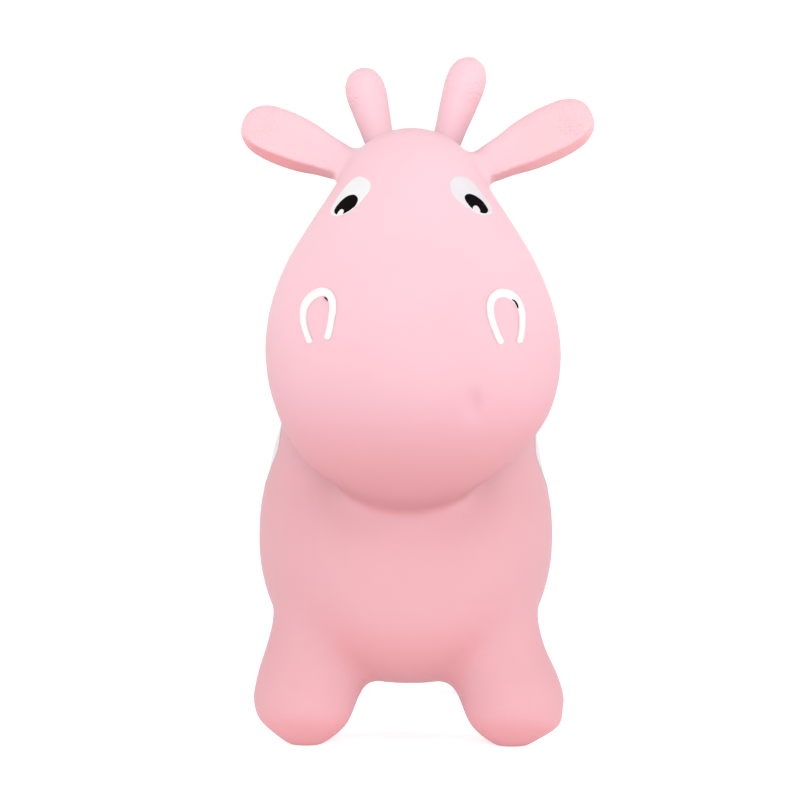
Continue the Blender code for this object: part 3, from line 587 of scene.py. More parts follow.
def loft(bm, rings):
    """Skin a row of rings into one closed body, with a flat cap on each end."""
    loops = [[bm.verts.new(point) for point in ring] for ring in rings]
    faces = [bm.faces.new(loops[0]), bm.faces.new(loops[-1])]
    for low, high in zip(loops, loops[1:]):
        for i in range(len(low)):
            j = (i + 1) % len(low)
            faces.append(bm.faces.new((low[i], low[j], high[j], high[i])))
    bmesh.ops.recalc_face_normals(bm, faces=faces)


def trunk_rings():
    """Rings from chest to rump, closed by a blunt round end on each."""
    rings = []
    count = 60
    for i in range(1, count):
        angle = math.pi * i / count
        share = (1 - math.cos(angle)) / 2
        swell = math.sin(angle) ** TRUNK_BLUNTNESS
        width, back, belly = through(TRUNK_SHARES, share)
        rise = BACK_HEIGHT - BELLY_HEIGHT
        top = BELLY_HEIGHT + rise * back
        bottom = BELLY_HEIGHT + rise * belly
        centre = Vector((0.0, CHEST_Y + TRUNK_LENGTH * share, (top + bottom) / 2))
        half_width = TRUNK_WIDTH / 2 * width * swell
        half_height = (top - bottom) / 2 * swell
        rings.append(oval(centre, AXIS_X, AXIS_Z, half_width, half_height, TRUNK_SQUARENESS))
    return rings


def neck_rings():
    """Level rings from inside the shoulders to inside the head."""
    rings = []
    count = 24
    for i in range(count + 1):
        share = i / count
        width, depth = through(NECK_SHARES, share)
        height = NECK_FOOT_HEIGHT + (NECK_TOP_HEIGHT - NECK_FOOT_HEIGHT) * share
        centre = Vector((0.0, NECK_Y - NECK_LEAN * share, height))
        rings.append(oval(centre, AXIS_X, AXIS_Y, NECK_WIDTH / 2 * width, NECK_DEPTH / 2 * depth))
    return rings


def head_rings():
    """Level rings at even latitudes from chin to crown."""
    rings = []
    count = 64
    middle = (CHIN_HEIGHT + CROWN_HEIGHT) / 2
    half_height = (CROWN_HEIGHT - CHIN_HEIGHT) / 2
    for i in range(1, count):
        share = i / count
        latitude = math.pi * (share - 0.5)
        width, depth, set_back = through(HEAD_SHARES, share)
        y = CHIN_Y + (CROWN_Y - CHIN_Y) * set_back
        centre = Vector((0.0, y, middle + half_height * math.sin(latitude)))
        half_width = HEAD_WIDTH / 2 * width * math.cos(latitude)
        half_depth = HEAD_DEPTH / 2 * depth * math.cos(latitude)
        rings.append(oval(centre, AXIS_X, AXIS_Y, half_width, half_depth))
    return rings


def leg_rings(side, foot_y, hip_y):
    """Level rings from below the sole to the top of the leg inside the trunk."""
    rings = []
    count = 40
    bottom = -SOLE_CUT
    for i in range(1, count + 1):
        share = (i / count) ** 2
        height = bottom + (LEG_HEIGHT - bottom) * share
        rise = max(0.0, height - FOOT_BULGE_HEIGHT) / (LEG_HEIGHT - FOOT_BULGE_HEIGHT)
        stance = FOOT_X if foot_y < 0 else REAR_FOOT_X
        x = side * (stance + (HIP_X - stance) * rise)
        centre = Vector((x, foot_y + (hip_y - foot_y) * rise, height))
        radius = FOOT_RADIUS * float(through(LEG_SHARES, share)[0])
        rings.append(oval(centre, AXIS_X, AXIS_Y, radius, radius))
    return rings


def softness(points):
    """From 1 where the moulding's forms melt softly into each other to 0 away from there."""
    places = [
        ((0.0, NECK_Y + NECK_DEPTH / 2, BACK_HEIGHT), NAPE_SOFTNESS),
        ((0.0, CROWN_Y + HEAD_DEPTH / 2, (NECK_TOP_HEIGHT + BACK_HEIGHT) / 2), NAPE_SOFTNESS),
        ((0.0, CHEST_Y, CHIN_HEIGHT), THROAT_SOFTNESS),
    ]
    for side in SIDES.values():
        for (x, y, height), reach in ((CREASE_PLACE, CREASE_SOFTNESS), (ARCH_PLACE, ARCH_SOFTNESS)):
            places.append(((side * x, y, height), reach))
        for foot_y, hip_y in LEGS_Y:
            crease_height = BELLY_HEIGHT + FOOT_BULGE_HEIGHT / 2
            middle = (side * (HIP_X + FOOT_X) / 2, (foot_y + hip_y) / 2, crease_height)
            places.append((middle, HIP_SOFTNESS))
    closeness = np.zeros(len(points))
    for middle, reach in places:
        distance = np.linalg.norm(points - np.array(middle), axis=1)
        closeness = np.maximum(closeness, 2 * (1 - distance / reach))
    return np.clip(closeness, 0.0, 1.0)


def flow(points):
    """From 1 where the trunk flows down into the front legs to 0 away from there."""
    closeness = np.zeros(len(points))
    core = FLOW_CORE_SHARE * FLOW_REACH
    for side in SIDES.values():
        place = np.array(FLOW_PLACE) * (side, 1.0, 1.0)
        distance = np.linalg.norm(points - place, axis=1)
        closeness = np.maximum(closeness, 1 - smooth_step(core, FLOW_REACH, distance))
    return closeness


def pliancy(points, limbs):
    """How much of the general melting each point gets: all on the body, little on the limbs."""
    share = np.ones(len(points))
    for limb in limbs:
        local = limb.local(points)
        away = np.hypot(local[:, 0], local[:, 1]) / limb.width
        firm = smooth_step(limb.firm_from, limb.firm_from + FIRM_SPAN, local[:, 2])
        firm = firm * (1 - smooth_step(*FIRM_REACH, away))
        share = np.minimum(share, 1 - (1 - LIMB_MELT_SHARE) * firm)
    return share


def neighbour_table(mesh):
    """For each point the points joined to it, padded with itself, and how many there are."""
    ends = np.empty(len(mesh.edges) * 2, dtype=np.int64)
    mesh.edges.foreach_get("vertices", ends)
    first = np.concatenate((ends[0::2], ends[1::2]))
    second = np.concatenate((ends[1::2], ends[0::2]))
    order = np.argsort(first, kind="stable")
    first = first[order]
    second = second[order]
    count = np.bincount(first, minlength=len(mesh.vertices))
    start = np.concatenate(([0], np.cumsum(count)[:-1]))
    table = np.repeat(np.arange(len(mesh.vertices))[:, None], count.max(), axis=1)
    table[first, np.arange(len(first)) - start[first]] = second
    return table, count


def get_points(mesh):
    """The mesh's points as an array."""
    points = np.empty(len(mesh.vertices) * 3)
    mesh.vertices.foreach_get("co", points)
    return points.reshape(-1, 3)


def melt(points, neighbours, spread, share):
    """Round a mesh by drawing each point towards the middle of its neighbours.

    One pass spreads a form by half a grain, and spreads add up as squares.
    """
    table, count = neighbours
    padding = (table.shape[1] - count)[:, None]
    pull = 0.5 * share[:, None]
    for _ in range(round(4 * (spread / GRAIN) ** 2)):
        total = points[table].sum(axis=1) - padding * points
        points = points + pull * (total / count[:, None] - points)
    return points


def link(name, data):
    """Put a mesh, a light or a camera in the scene."""
    made = bpy.data.objects.new(name, data)
    bpy.context.scene.collection.objects.link(made)
    return made


def mesh_of(bm, name):
    """Close a bmesh into a new smooth mesh."""
    mesh = bpy.data.meshes.new(name)
    bm.to_mesh(mesh)
    bm.free()
    mesh.shade_smooth()
    return mesh


def evaluated(obj):
    """The mesh of an object with its modifiers carried out; the object goes."""
    graph = bpy.context.evaluated_depsgraph_get()
    mesh = bpy.data.meshes.new_from_object(obj.evaluated_get(graph))
    bpy.data.objects.remove(obj, do_unlink=True)
    return mesh


def raw_skin(limbs):
    """Every form of the moulding, merged into one closed skin of even grain."""
    bm = bmesh.new()
    loft(bm, trunk_rings())
    loft(bm, neck_rings())
    loft(bm, head_rings())
    for side in SIDES.values():
        for foot_y, hip_y in LEGS_Y:
            loft(bm, leg_rings(side, foot_y, hip_y))
    for limb in limbs:
        loft(bm, limb.rings())
    forms = link("raw_skin", mesh_of(bm, "raw_skin"))
    remesh = forms.modifiers.new("melt forms together", "REMESH")
    remesh.mode = "VOXEL"
    remesh.voxel_size = GRAIN
    return evaluated(forms)


def settled(points):
    """The skin's points as the blown toy stands: a little to one side, settled and dented."""
    points[:, 0] += lean(points)
    points[:, 1] *= SETTLED_SHARE
    away = np.linalg.norm((points - np.array(DENT_PLACE)) / np.array(DENT_REACH), axis=1)
    points[:, 1] += DENT_DEPTH * np.exp(-away ** 2)
    return points


def whole_skin(limbs):
    """Body, ears, horns and tail as one smooth closed skin with flat soles."""
    mesh = raw_skin(limbs)
    neighbours = neighbour_table(mesh)
    points = get_points(mesh)
    points = melt(points, neighbours, MELT_SPREAD, pliancy(points, limbs))
    points = melt(points, neighbours, SOFT_MELT_SPREAD, softness(points))
    points = melt(points, neighbours, FLOW_SPREAD, flow(points))
    mesh.vertices.foreach_set("co", settled(points).ravel())
    bm = bmesh.new()
    bm.from_mesh(mesh)
    everything = bm.verts[:] + bm.edges[:] + bm.faces[:]
    cut = bmesh.ops.bisect_plane(bm, geom=everything, plane_co=(0, 0, 0), plane_no=-AXIS_Z,
                                 clear_outer=True)
    rim = [piece for piece in cut["geom_cut"] if isinstance(piece, bmesh.types.BMEdge)]
    bmesh.ops.holes_fill(bm, edges=rim, sides=0)
    bmesh.ops.recalc_face_normals(bm, faces=bm.faces)
    return mesh_of(bm, "whole_skin")


def lean(points):
    """How far each point of the skin stands to the toy's left of its even place."""
    x, y, height = points.T
    trunk = smooth_step(*TRUNK_LEAN_FROM, height) * (1 - smooth_step(*TRUNK_LEAN_TO, height))
    trunk = trunk * smooth_step(*TRUNK_LEAN_Y, y)
    muzzle = smooth_step(*MUZZLE_FULL_FROM, height) * (1 - smooth_step(*MUZZLE_FULL_TO, height))
    muzzle = muzzle * (1 - smooth_step(*MUZZLE_FULL_Y, y)) * smooth_step(*MUZZLE_FULL_X, x)
    foot = np.exp(-((height - FULL_FOOT_HEIGHT) / FULL_FOOT_SPREAD) ** 2)
    foot = foot * smooth_step(FOOT_X, FOOT_X + FULL_FOOT_EDGE, x) * (y < 0)
    return TRUNK_LEAN * trunk + MUZZLE_FULLNESS * muzzle + FOOT_FULLNESS * foot


def part_skin(skin, limbs):
    """Part the skin at the roots of its limbs: each face's limb by number, or -1 for the body."""
    middles = np.empty(len(skin.polygons) * 3)
    skin.polygons.foreach_get("center", middles)
    middles = middles.reshape(-1, 3)
    owner = np.full(len(middles), -1)
    for number, limb in enumerate(limbs):
        local = limb.local(middles)
        near = np.hypot(local[:, 0], local[:, 1]) < PART_REACH * limb.width
        past = (local[:, 2] > PART_HEIGHT) & (local[:, 2] < limb.length * TIP_ROOM)
        owner[near & past] = number
    return owner


def cut_out(skin, chosen):
    """The chosen faces of the skin, with the whole skin's normal kept at each of their points."""
    bm = bmesh.new()
    bm.from_mesh(skin)
    bm.faces.ensure_lookup_table()
    layer = bm.verts.layers.float_vector.new("skin_normal")
    for vert in bm.verts:
        vert[layer] = vert.normal
    bmesh.ops.delete(bm, geom=[bm.faces[i] for i in np.flatnonzero(~chosen)], context="FACES")
    return bm


def finish_normals(bm, name):
    """Close a cut-out into a mesh whose open edge keeps the whole skin's normals."""
    bm.normal_update()
    layer = bm.verts.layers.float_vector["skin_normal"]
    normals = [Vector(vert[layer]).normalized() if vert.is_boundary else vert.normal.copy()
               for vert in bm.verts]
    bm.verts.layers.float_vector.remove(layer)
    mesh = mesh_of(bm, name)
    mesh.normals_split_custom_set_from_vertices(normals)
    return mesh


def pimple_places(limb):
    """Middles of the pimples, in offset rows round the limb's tip, each a little out of line."""
    places = []
    share = limb.pimpled_from
    row = 0
    whole = limb.length + limb.sink
    corners = 96
    look_ahead = 0.01
    random = np.random.default_rng(7)
    while share < 0.995:
        ring = np.array(limb.section(share, corners))
        steps = np.linalg.norm(np.roll(ring, -1, axis=0) - ring, axis=1)
        girth = steps.sum()
        count = max(3, round(girth / PIMPLE_PITCH))
        reach = np.concatenate(([0], np.cumsum(steps)))[:-1]
        for i in range(count):
            stray = random.uniform(-PIMPLE_STRAY, PIMPLE_STRAY)
            at = ((i + 0.5 * (row % 2) + stray) / count * girth) % girth
            k = int(np.searchsorted(reach, at, side="right")) - 1
            t = (at - reach[k]) / steps[k]
            place = ring[k] * (1 - t) + ring[(k + 1) % corners] * t
            nudge = random.uniform(-PIMPLE_STRAY, PIMPLE_STRAY) * PIMPLE_PITCH
            places.append(Vector(place) + limb.along * nudge)
        # Rows crowd together where the tip rounds over, so that they stay evenly spaced.
        later = np.array(limb.section(min(1.0, share + look_ahead), corners))
        slant = np.linalg.norm(later - ring, axis=1).max() / look_ahead
        share += PIMPLE_PITCH * PIMPLE_ROW_SHARE / max(slant, whole)
        row += 1
    return places


def refine(bm, limb):
    """Split a limb's faces finer, and finer still at its pimpled tip."""
    bmesh.ops.subdivide_edges(bm, edges=bm.edges[:], cuts=1, use_grid_fill=True)
    tip_z = -limb.sink + (limb.length + limb.sink) * (limb.pimpled_from - PIMPLE_MARGIN)
    inverse = limb.matrix.inverted()
    tip = [edge for edge in bm.edges
           if all((inverse @ vert.co).z > tip_z for vert in edge.verts)]
    bmesh.ops.subdivide_edges(bm, edges=tip, cuts=1, use_grid_fill=True)
    bmesh.ops.triangulate(bm, faces=[face for face in bm.faces if len(face.verts) > 4])


def draw_onto_form(bm, limb):
    """Draw a limb's points onto its own round form, and near the root onto the fillet.

    Linear splitting keeps the old facets. This takes them away and brings in the ear's crease.
    """
    free = [vert for vert in bm.verts if not vert.is_boundary]
    for _ in range(3):
        bmesh.ops.smooth_vert(bm, verts=free, factor=0.5, use_axis_x=True, use_axis_y=True,
                              use_axis_z=True)
    form = limb.form()
    inverse = limb.matrix.inverted()
    for vert in free:
        reach = (inverse @ vert.co).z
        if reach > FORM_FROM:
            nearest, _, _, away = form.find_nearest(vert.co)
            # Beside the root, skin that is further off belongs to the crown, and stays.
            beside = 1 - smooth_step(*CROWN_REACH, reach)
            stays = smooth_step(FORM_NEAR, 2 * FORM_NEAR, away) * beside
            drawn = smooth_step(FORM_FROM, FORM_FULL, reach) * (1 - stays)
            vert.co = vert.co.lerp(nearest, float(drawn))


def raise_pimples(bm, limb):
    """Leave pimples standing on a limb's tip, by sinking the skin between them a little."""
    bm.normal_update()
    places = pimple_places(limb)
    tree = KDTree(len(places))
    for number, place in enumerate(places):
        tree.insert(place, number)
    tree.balance()
    tallness = np.random.default_rng(11).uniform(*PIMPLE_TALLNESS, len(places))
    inverse = limb.matrix.inverted()
    for vert in bm.verts:
        share = ((inverse @ vert.co).z + limb.sink) / (limb.length + limb.sink)
        if share <= limb.pimpled_from:
            continue
        _, number, distance = tree.find(vert.co)
        height = max(0.0, 1 - (distance / PIMPLE_RADIUS) ** 2) ** 1.5 * tallness[number]
        fade = float(smooth_step(limb.pimpled_from, limb.pimpled_from + PIMPLE_FADE, share))
        fade *= limb.pimpled(vert.normal)
        vert.co += vert.normal * (limb.pimple_height * (height - 1) * fade)


def limb_mesh(skin, limb, chosen):
    """A limb's own stretch of the skin, with pimples on its tip."""
    bm = cut_out(skin, chosen)
    refine(bm, limb)
    draw_onto_form(bm, limb)
    raise_pimples(bm, limb)
    return finish_normals(bm, limb.body + "_skin")


def edge_reach(mesh, limb):
    """How far along a limb its piece's open edge comes."""
    bm = bmesh.new()
    bm.from_mesh(mesh)
    inverse = limb.matrix.inverted()
    reach = max((inverse @ vert.co).z for vert in bm.verts if vert.is_boundary)
    bm.free()
    return reach


def body_piece(skin, chosen):
    """The body's stretch of the skin, with the well for the air valve cut into its belly."""
    name = "body_skin_fine"
    body = link(name, finish_normals(cut_out(skin, chosen), name))
    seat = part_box("valve_seat")
    middle = (seat[0] + seat[1]) / 2
    bm = bmesh.new()
    loft(bm, [oval(Vector((middle.x, middle.y, z)), AXIS_X, AXIS_Y, WELL_RADIUS, WELL_RADIUS)
              for z in (WELL_FROM_HEIGHT, seat[1].z)])
    cutter = link("well", mesh_of(bm, "well"))
    cut = body.modifiers.new("valve well", "BOOLEAN")
    cut.operation = "DIFFERENCE"
    cut.object = cutter
    mesh = evaluated(body)
    bpy.data.objects.remove(cutter, do_unlink=True)
    return link(name, mesh)


class Surface:
    """The smooth skin, for laying things on it."""

    def __init__(self, mesh):
        bm = bmesh.new()
        bm.from_mesh(mesh)
        self.tree = BVHTree.FromBMesh(bm)
        bm.verts.ensure_lookup_table()
        bm.faces.ensure_lookup_table()
        self.corners = [[vert.co.copy() for vert in face.verts] for face in bm.faces]
        self.normals = [[vert.normal.copy() for vert in face.verts] for face in bm.faces]
        bm.free()

    def meet(self, start, direction):
        """Where a line meets the skin, and the smooth direction out of it there."""
        place, _, face, _ = self.tree.ray_cast(start, direction)
        if place is None:
            place, _, face, _ = self.tree.find_nearest(start)
        total = Vector()
        for corner, normal in zip(self.corners[face], self.normals[face]):
            total += normal / max((corner - place).length, 1e-5)
        return place, total.normalized()

    def from_front(self, x, height):
        """Where a line from straight ahead meets the skin."""
        return self.meet(Vector((x, -1.0, height)), AXIS_Y)

    def from_axis(self, y, degrees, side):
        """Where a line from outside towards the trunk's axis meets the skin."""
        angle = math.radians(degrees)
        out = Vector((side * math.cos(angle), 0.0, math.sin(angle)))
        axis = Vector((0.0, y, (BACK_HEIGHT + BELLY_HEIGHT) / 2))
        return self.meet(axis + out * 0.5, -out)


def film(name, lift, outline, points, rings, low=0.0, high=PAINT_HEIGHT, edge=0.035):
    """A film of paint on the skin: a closed slab with a soft edge.

    lift(u, v) gives the skin's point and direction, outline(share of a turn) gives (u, v), and
    edge is the soft edge's width as a share of the way from the rim to the middle.
    """
    rim = np.array([outline(i / points) for i in range(points)])
    centre = rim.mean(axis=0)
    top = [(share, high) for share in np.linspace(0, 1 - 3 * edge, rings + 1)[1:]]
    top += [(1 - inward * edge, high * part) for inward, part in FILM_EDGE]
    top += [(1.0, low * 0.5 + high * 0.1)]
    under = [(share, low - PAINT_SINK) for share in np.linspace(1 - edge, 0, rings + 1)[:-1]]
    bm = bmesh.new()
    loops = []
    for share, height in top + under:
        loop = []
        for uv in rim:
            place, normal = lift(*(centre + (uv - centre) * share))
            loop.append(bm.verts.new(place + normal * height))
        loops.append(loop)
    for low_loop, high_loop in zip(loops, loops[1:]):
        for i in range(points):
            j = (i + 1) % points
            bm.faces.new((low_loop[i], low_loop[j], high_loop[j], high_loop[i]))
    for loop, height in ((loops[0], high), (loops[-1], low - PAINT_SINK)):
        place, normal = lift(*centre)
        hub = bm.verts.new(place + normal * height)
        for i in range(points):
            bm.faces.new((hub, loop[i], loop[(i + 1) % points]))
    bmesh.ops.recalc_face_normals(bm, faces=bm.faces)
    return link(name, mesh_of(bm, name))


def traced(points, side):
    """A smooth outline through given points, some of them twice, so that it closes."""
    count = len(points)
    rows = [(i / count, side * points[i % count][0], points[i % count][1])
            for i in range(-3, count + 4)]

    def outline(turn):
        return tuple(through(rows, turn))
    return outline


def eye(side_name, surface):
    """The white of an eye, the pupil painted over it, and the glint over the pupil's edge."""
    top = PAINT_HEIGHT + OVERPAINT_HEIGHT
    # The name's ending, the outlines, how many points and rings, and the bottom and top heights.
    layers = (
        ("_eye_white_paint", EYE_WHITES, 108, 12, 0.0, PAINT_HEIGHT),
        ("_pupil_paint", PUPILS, 91, 8, PAINT_HEIGHT, top),
        ("_glint_paint", GLINTS, 48, 4, top, top + OVERPAINT_HEIGHT),
    )
    return [film(side_name + suffix, surface.from_front,
                 traced(outlines[side_name], SIDES[side_name]), points, rings, low, high)
            for suffix, outlines, points, rings, low, high in layers]


def lengths_along(points):
    """How far along a line each of its points is."""
    return np.concatenate(([0], np.cumsum(np.linalg.norm(np.diff(points, axis=0), axis=1))))


def spline(points, count):
    """Even points on a smooth curve through the given ones."""
    points = np.array(points)
    reach = lengths_along(points)
    rows = np.column_stack((reach / reach[-1], points))
    return np.array([through(rows, i / (count - 1)) for i in range(count)])


def nostril_rim(side_name, surface):
    """A raised rim with a round back and round ends, laid on the muzzle along its path."""
    side = SIDES[side_name]
    count = 90
    path = spline([(side * x, height) for x, height in NOSTRIL_PATHS[side_name]], count)
    reach = lengths_along(path)
    length = reach[-1]
    round_back = np.linspace(0.0, math.pi, 13)
    rings = []
    for i in range(count):
        before, after = path[max(i - 1, 0)], path[min(i + 1, count - 1)]
        along = Vector(after - before).normalized()
        across = Vector((along.y, -along.x))
        swell = math.sin(math.pi * reach[i] / length) ** 4
        half_width = RIM_WIDTH / 2 * (1 + RIM_CROWN_SHARE * swell)
        to_end = min(reach[i], length - reach[i])
        round_off = math.sqrt(max(0.02, 1 - max(0.0, 1 - to_end / half_width) ** 2))
        profile = [(math.cos(angle), RIM_HEIGHT * round_off * math.sin(angle) ** 0.8)
                   for angle in round_back]
        profile += [(over, -2 * PAINT_SINK) for over in (-0.9, 0.9)]
        ring = []
        for over, height in profile:
            spot = Vector(path[i]) + across * (over * half_width * round_off)
            place, normal = surface.from_front(spot.x, spot.y)
            ring.append(place + normal * height)
        rings.append(ring)
    name = side_name + "_nostril_ridge"
    bm = bmesh.new()
    loft(bm, rings)
    return link(name, mesh_of(bm, name))


def nostril_fleck(side_name, surface):
    """A pointed black stroke inside a nostril rim."""
    side = SIDES[side_name]
    path, width = NOSTRIL_FLECKS[side_name]
    count = 13
    line = spline([(side * x, height) for x, height in path], count)
    along = np.gradient(line, axis=0)
    along /= np.linalg.norm(along, axis=1)[:, None]
    swell = np.sin(np.linspace(0, math.pi, count)) ** 0.7 * width / 2
    out = np.column_stack((along[:, 1], -along[:, 0])) * swell[:, None]
    loop = np.concatenate((line + out, (line - out)[-2:0:-1]))

    def outline(turn):
        return loop[round(turn * len(loop)) % len(loop)]
    return film(side_name + "_nostril_fleck", surface.from_front, outline, len(loop), 2,
                high=RIM_HEIGHT * 0.85)


def patch_paint(side_name, surface):
    """A painted patch over the side of the back, with a crisp masked edge."""
    side = SIDES[side_name]
    radius = (BACK_HEIGHT - BELLY_HEIGHT) / 2
    half_turn = math.degrees(PATCH_GIRTH / 2 / radius)
    count = len(PATCH_OUTLINE_SHARES)
    rows = [(i / count, PATCH_OUTLINE_SHARES[i % count]) for i in range(-2, count + 3)]

    def outline(turn):
        reach = float(through(rows, turn)[0])
        angle = math.tau * turn
        return (PATCH_Y + PATCH_LENGTH / 2 * reach * math.cos(angle),
                PATCH_DEGREES + half_turn * reach * math.sin(angle))

    def lift(y, degrees):
        return surface.from_axis(y, degrees, side)
    return film(side_name + "_painted_patch", lift, outline, 160, 40, edge=PATCH_EDGE_SHARE)


class Finish:
    """A procedural material on Blender's Principled shader, and the nodes that vary it."""

    def __init__(self, name, roughness, coat=0.0, coat_roughness=0.1, subsurface=0.0):
        self.material = bpy.data.materials.new(name)
        self.material.use_nodes = True
        self.tree = self.material.node_tree
        self.shader = self.tree.nodes["Principled BSDF"]
        self.shader.inputs["Roughness"].default_value = roughness
        self.shader.inputs["Coat Weight"].default_value = coat
        self.shader.inputs["Coat Roughness"].default_value = coat_roughness
        self.shader.inputs["Subsurface Weight"].default_value = subsurface

    def node(self, kind, settings=(), inputs=()):
        """Add a node, set its settings first, and then set or link its sockets."""
        made = self.tree.nodes.new(kind)
        for name, value in dict(settings).items():
            setattr(made, name, value)
        for socket, value in dict(inputs).items():
            self.feed(made.inputs[socket], value)
        return made

    def feed(self, socket, value):
        """Link a varying value to a socket, or set a constant on it."""
        if isinstance(value, Value):
            self.tree.links.new(value.socket, socket)
        elif isinstance(value, bpy.types.NodeSocket):
            self.tree.links.new(value, socket)
        else:
            socket.default_value = value

    def give(self, sockets):
        """Set or link the shader's own sockets."""
        for name, value in sockets.items():
            self.feed(self.shader.inputs[name], value)

    def value(self, socket):
        """A socket as a value that can be reckoned with."""
        return Value(self, socket)

    def places(self):
        """The object's own coordinates, in metres."""
        return self.node("ShaderNodeTexCoord").outputs["Object"]

    def noise(self, scale, detail=3.0):
        """Soft random variation from 0 to 1, with scale in lumps a metre."""
        made = self.node("ShaderNodeTexNoise", {}, {
            "Vector": self.places(), "Scale": scale, "Detail": detail, "Roughness": 0.5})
        return self.value(made.outputs["Fac"])

    def axis(self, name):
        """One of the object's coordinates."""
        return self.value(self.node("ShaderNodeSeparateXYZ", {}, {
            "Vector": self.places()}).outputs[name])

    def facing_up(self):
        """How far the surface faces up: 1 flat up, -1 flat down."""
        normal = self.node("ShaderNodeTexCoord").outputs["Normal"]
        return self.value(self.node("ShaderNodeSeparateXYZ", {}, {"Vector": normal}).outputs["Z"])

    def between(self, share, first, second):
        """A colour between two, by a varying share."""
        made = self.node("ShaderNodeMix", {"data_type": "RGBA"}, {"Factor": share})
        for socket, colour in ((made.inputs[6], first), (made.inputs[7], second)):
            self.feed(socket, colour)
        return made.outputs[2]

    def bump(self, height, strength, distance):
        """Raise the surface by a varying height."""
        made = self.node("ShaderNodeBump", {}, {
            "Height": height, "Strength": strength, "Distance": distance})
        self.give({"Normal": made.outputs["Normal"]})


class Value:
    """A number that varies over a surface. Sums on it add the shader's Math nodes."""

    def __init__(self, finish, socket):
        self.finish = finish
        self.socket = socket

    def reckon(self, operation, first, second):
        """The result of one Math node."""
        made = self.finish.node("ShaderNodeMath", {"operation": operation}, {0: first, 1: second})
        return Value(self.finish, made.outputs["Value"])

    def __add__(self, other):
        return self.reckon("ADD", self, other)

    def __sub__(self, other):
        return self.reckon("SUBTRACT", self, other)

    def __rsub__(self, other):
        return self.reckon("SUBTRACT", other, self)

    def __mul__(self, other):
        return self.reckon("MULTIPLY", self, other)

    __radd__ = __add__
    __rmul__ = __mul__

    def ramp(self, low, high):
        """From 0 at low to 1 at high, without a kink."""
        made = self.finish.node("ShaderNodeMapRange", {"interpolation_type": "SMOOTHSTEP"}, {
            "Value": self, "From Min": low, "From Max": high})
        return Value(self.finish, made.outputs["Result"])


def vinyl():
    """Soft satin vinyl, paler on the head than on the body partly as painted light, darker as
    painted shade where it faces down, with a faint moulded grain.
    """
    made = Finish("soft_pink_vinyl", 0.50, subsurface=0.10)
    made.give({"Subsurface Radius": (1.0, 0.45, 0.40), "Subsurface Scale": 0.005,
               "Specular IOR Level": 0.10})
    across, height = made.axis("X"), made.axis("Z")
    # Up the muzzle and the crown the pink turns paler: partly the vinyl's own tint, partly painted
    # light on the head.
    lower = made.between(height.ramp(*MUZZLE_PINK_HEIGHTS), BODY_PINK, MUZZLE_PINK)
    pink = made.between(height.ramp(*CROWN_PINK_HEIGHTS), lower, CROWN_PINK_AND_PAINTED_LIGHT)
    # The ears are a little warmer. All that faces down is darker as painted shade, most of all on
    # the limbs, and less on the left ear.
    ear = (across * across).ramp(*EAR_PINK_SQUARES) * height.ramp(*EAR_PINK_HEIGHTS)
    left = across.ramp(0.0, 0.05)
    pink = made.between(ear, pink, made.between(left, RIGHT_EAR_PINK, LEFT_EAR_PINK))
    limb = ear + 0.5 * ((1 - ear) * height.ramp(*HORN_PAINTED_SHADE_HEIGHTS))
    painted_shade_facing_down = (0 - made.facing_up()).ramp(0.0, 0.75)
    depth = painted_shade_facing_down * (0.5 + 0.5 * limb) * (1 - 0.4 * (left * ear))
    pink = made.between(depth, pink, made.between(limb, BODY_PAINTED_SHADE, LIMB_PAINTED_SHADE))
    mottle = made.noise(9.0).ramp(0.35, 0.75) * 0.10
    made.give({"Base Color": made.between(mottle, pink, MOTTLE_PINK),
               "Roughness": 0.47 + 0.10 * made.noise(40.0, 2.0)})
    grain = made.noise(900.0, 2.0) + 0.5 * made.noise(220.0, 2.0)
    made.bump(grain, 0.12, 0.00025)
    return made.material


def white_paint(name, paint, thin):
    """Satin white paint, sprayed through a mask, a little thin in places."""
    made = Finish(name, 0.34, coat=0.1, coat_roughness=0.25)
    worn = made.noise(60.0, 3.0).ramp(0.35, 0.75)
    made.give({"Specular IOR Level": 0.25,
               "Base Color": made.between(worn, paint, thin),
               "Roughness": 0.30 + 0.12 * made.noise(80.0, 2.0)})
    made.bump(made.noise(700.0, 2.0), 0.10, 0.0002)
    return made.material


def black_paint():
    """Satin black paint."""
    made = Finish("satin_black_paint", 0.35)
    made.give({"Specular IOR Level": 0.004,
               "Base Color": made.between(made.noise(300.0, 2.0), *BLACKS),
               "Roughness": 0.32 + 0.08 * made.noise(120.0, 2.0)})
    made.bump(made.noise(900.0, 2.0), 0.06, 0.0002)
    return made.material


def plug_vinyl():
    """Milky soft vinyl of the air plug."""
    made = Finish("milky_plug_vinyl", 0.45, subsurface=0.2)
    made.give({"Subsurface Scale": 0.004,
               "Base Color": made.between(made.noise(150.0, 2.0), *MILKY_WHITES),
               "Roughness": 0.40 + 0.10 * made.noise(200.0, 2.0)})
    made.bump(made.noise(800.0, 2.0), 0.10, 0.0002)
    return made.material


def studio_white():
    """Matt white paper of the studio's sweep, which glows softly under the toy though it is no
    lamp.
    """
    made = Finish("studio_paper", 0.9)
    across, along = made.axis("X"), made.axis("Y")
    under = 1 - (across * across + GLOW_ALONG_SHARE * (along * along)).ramp(*GLOW_SQUARES)
    made.give({"Base Color": made.between(along.ramp(*PAPER_FRONT_Y), *PAPER_WHITES),
               "Emission Color": made.between(under, (0.0, 0.0, 0.0, 1), (1.0, 1.0, 1.0, 1)),
               "Emission Strength": PAPER_GLOW})
    return made.material


def dress(obj, finish):
    """Give an object one material."""
    obj.data.materials.clear()
    obj.data.materials.append(finish)


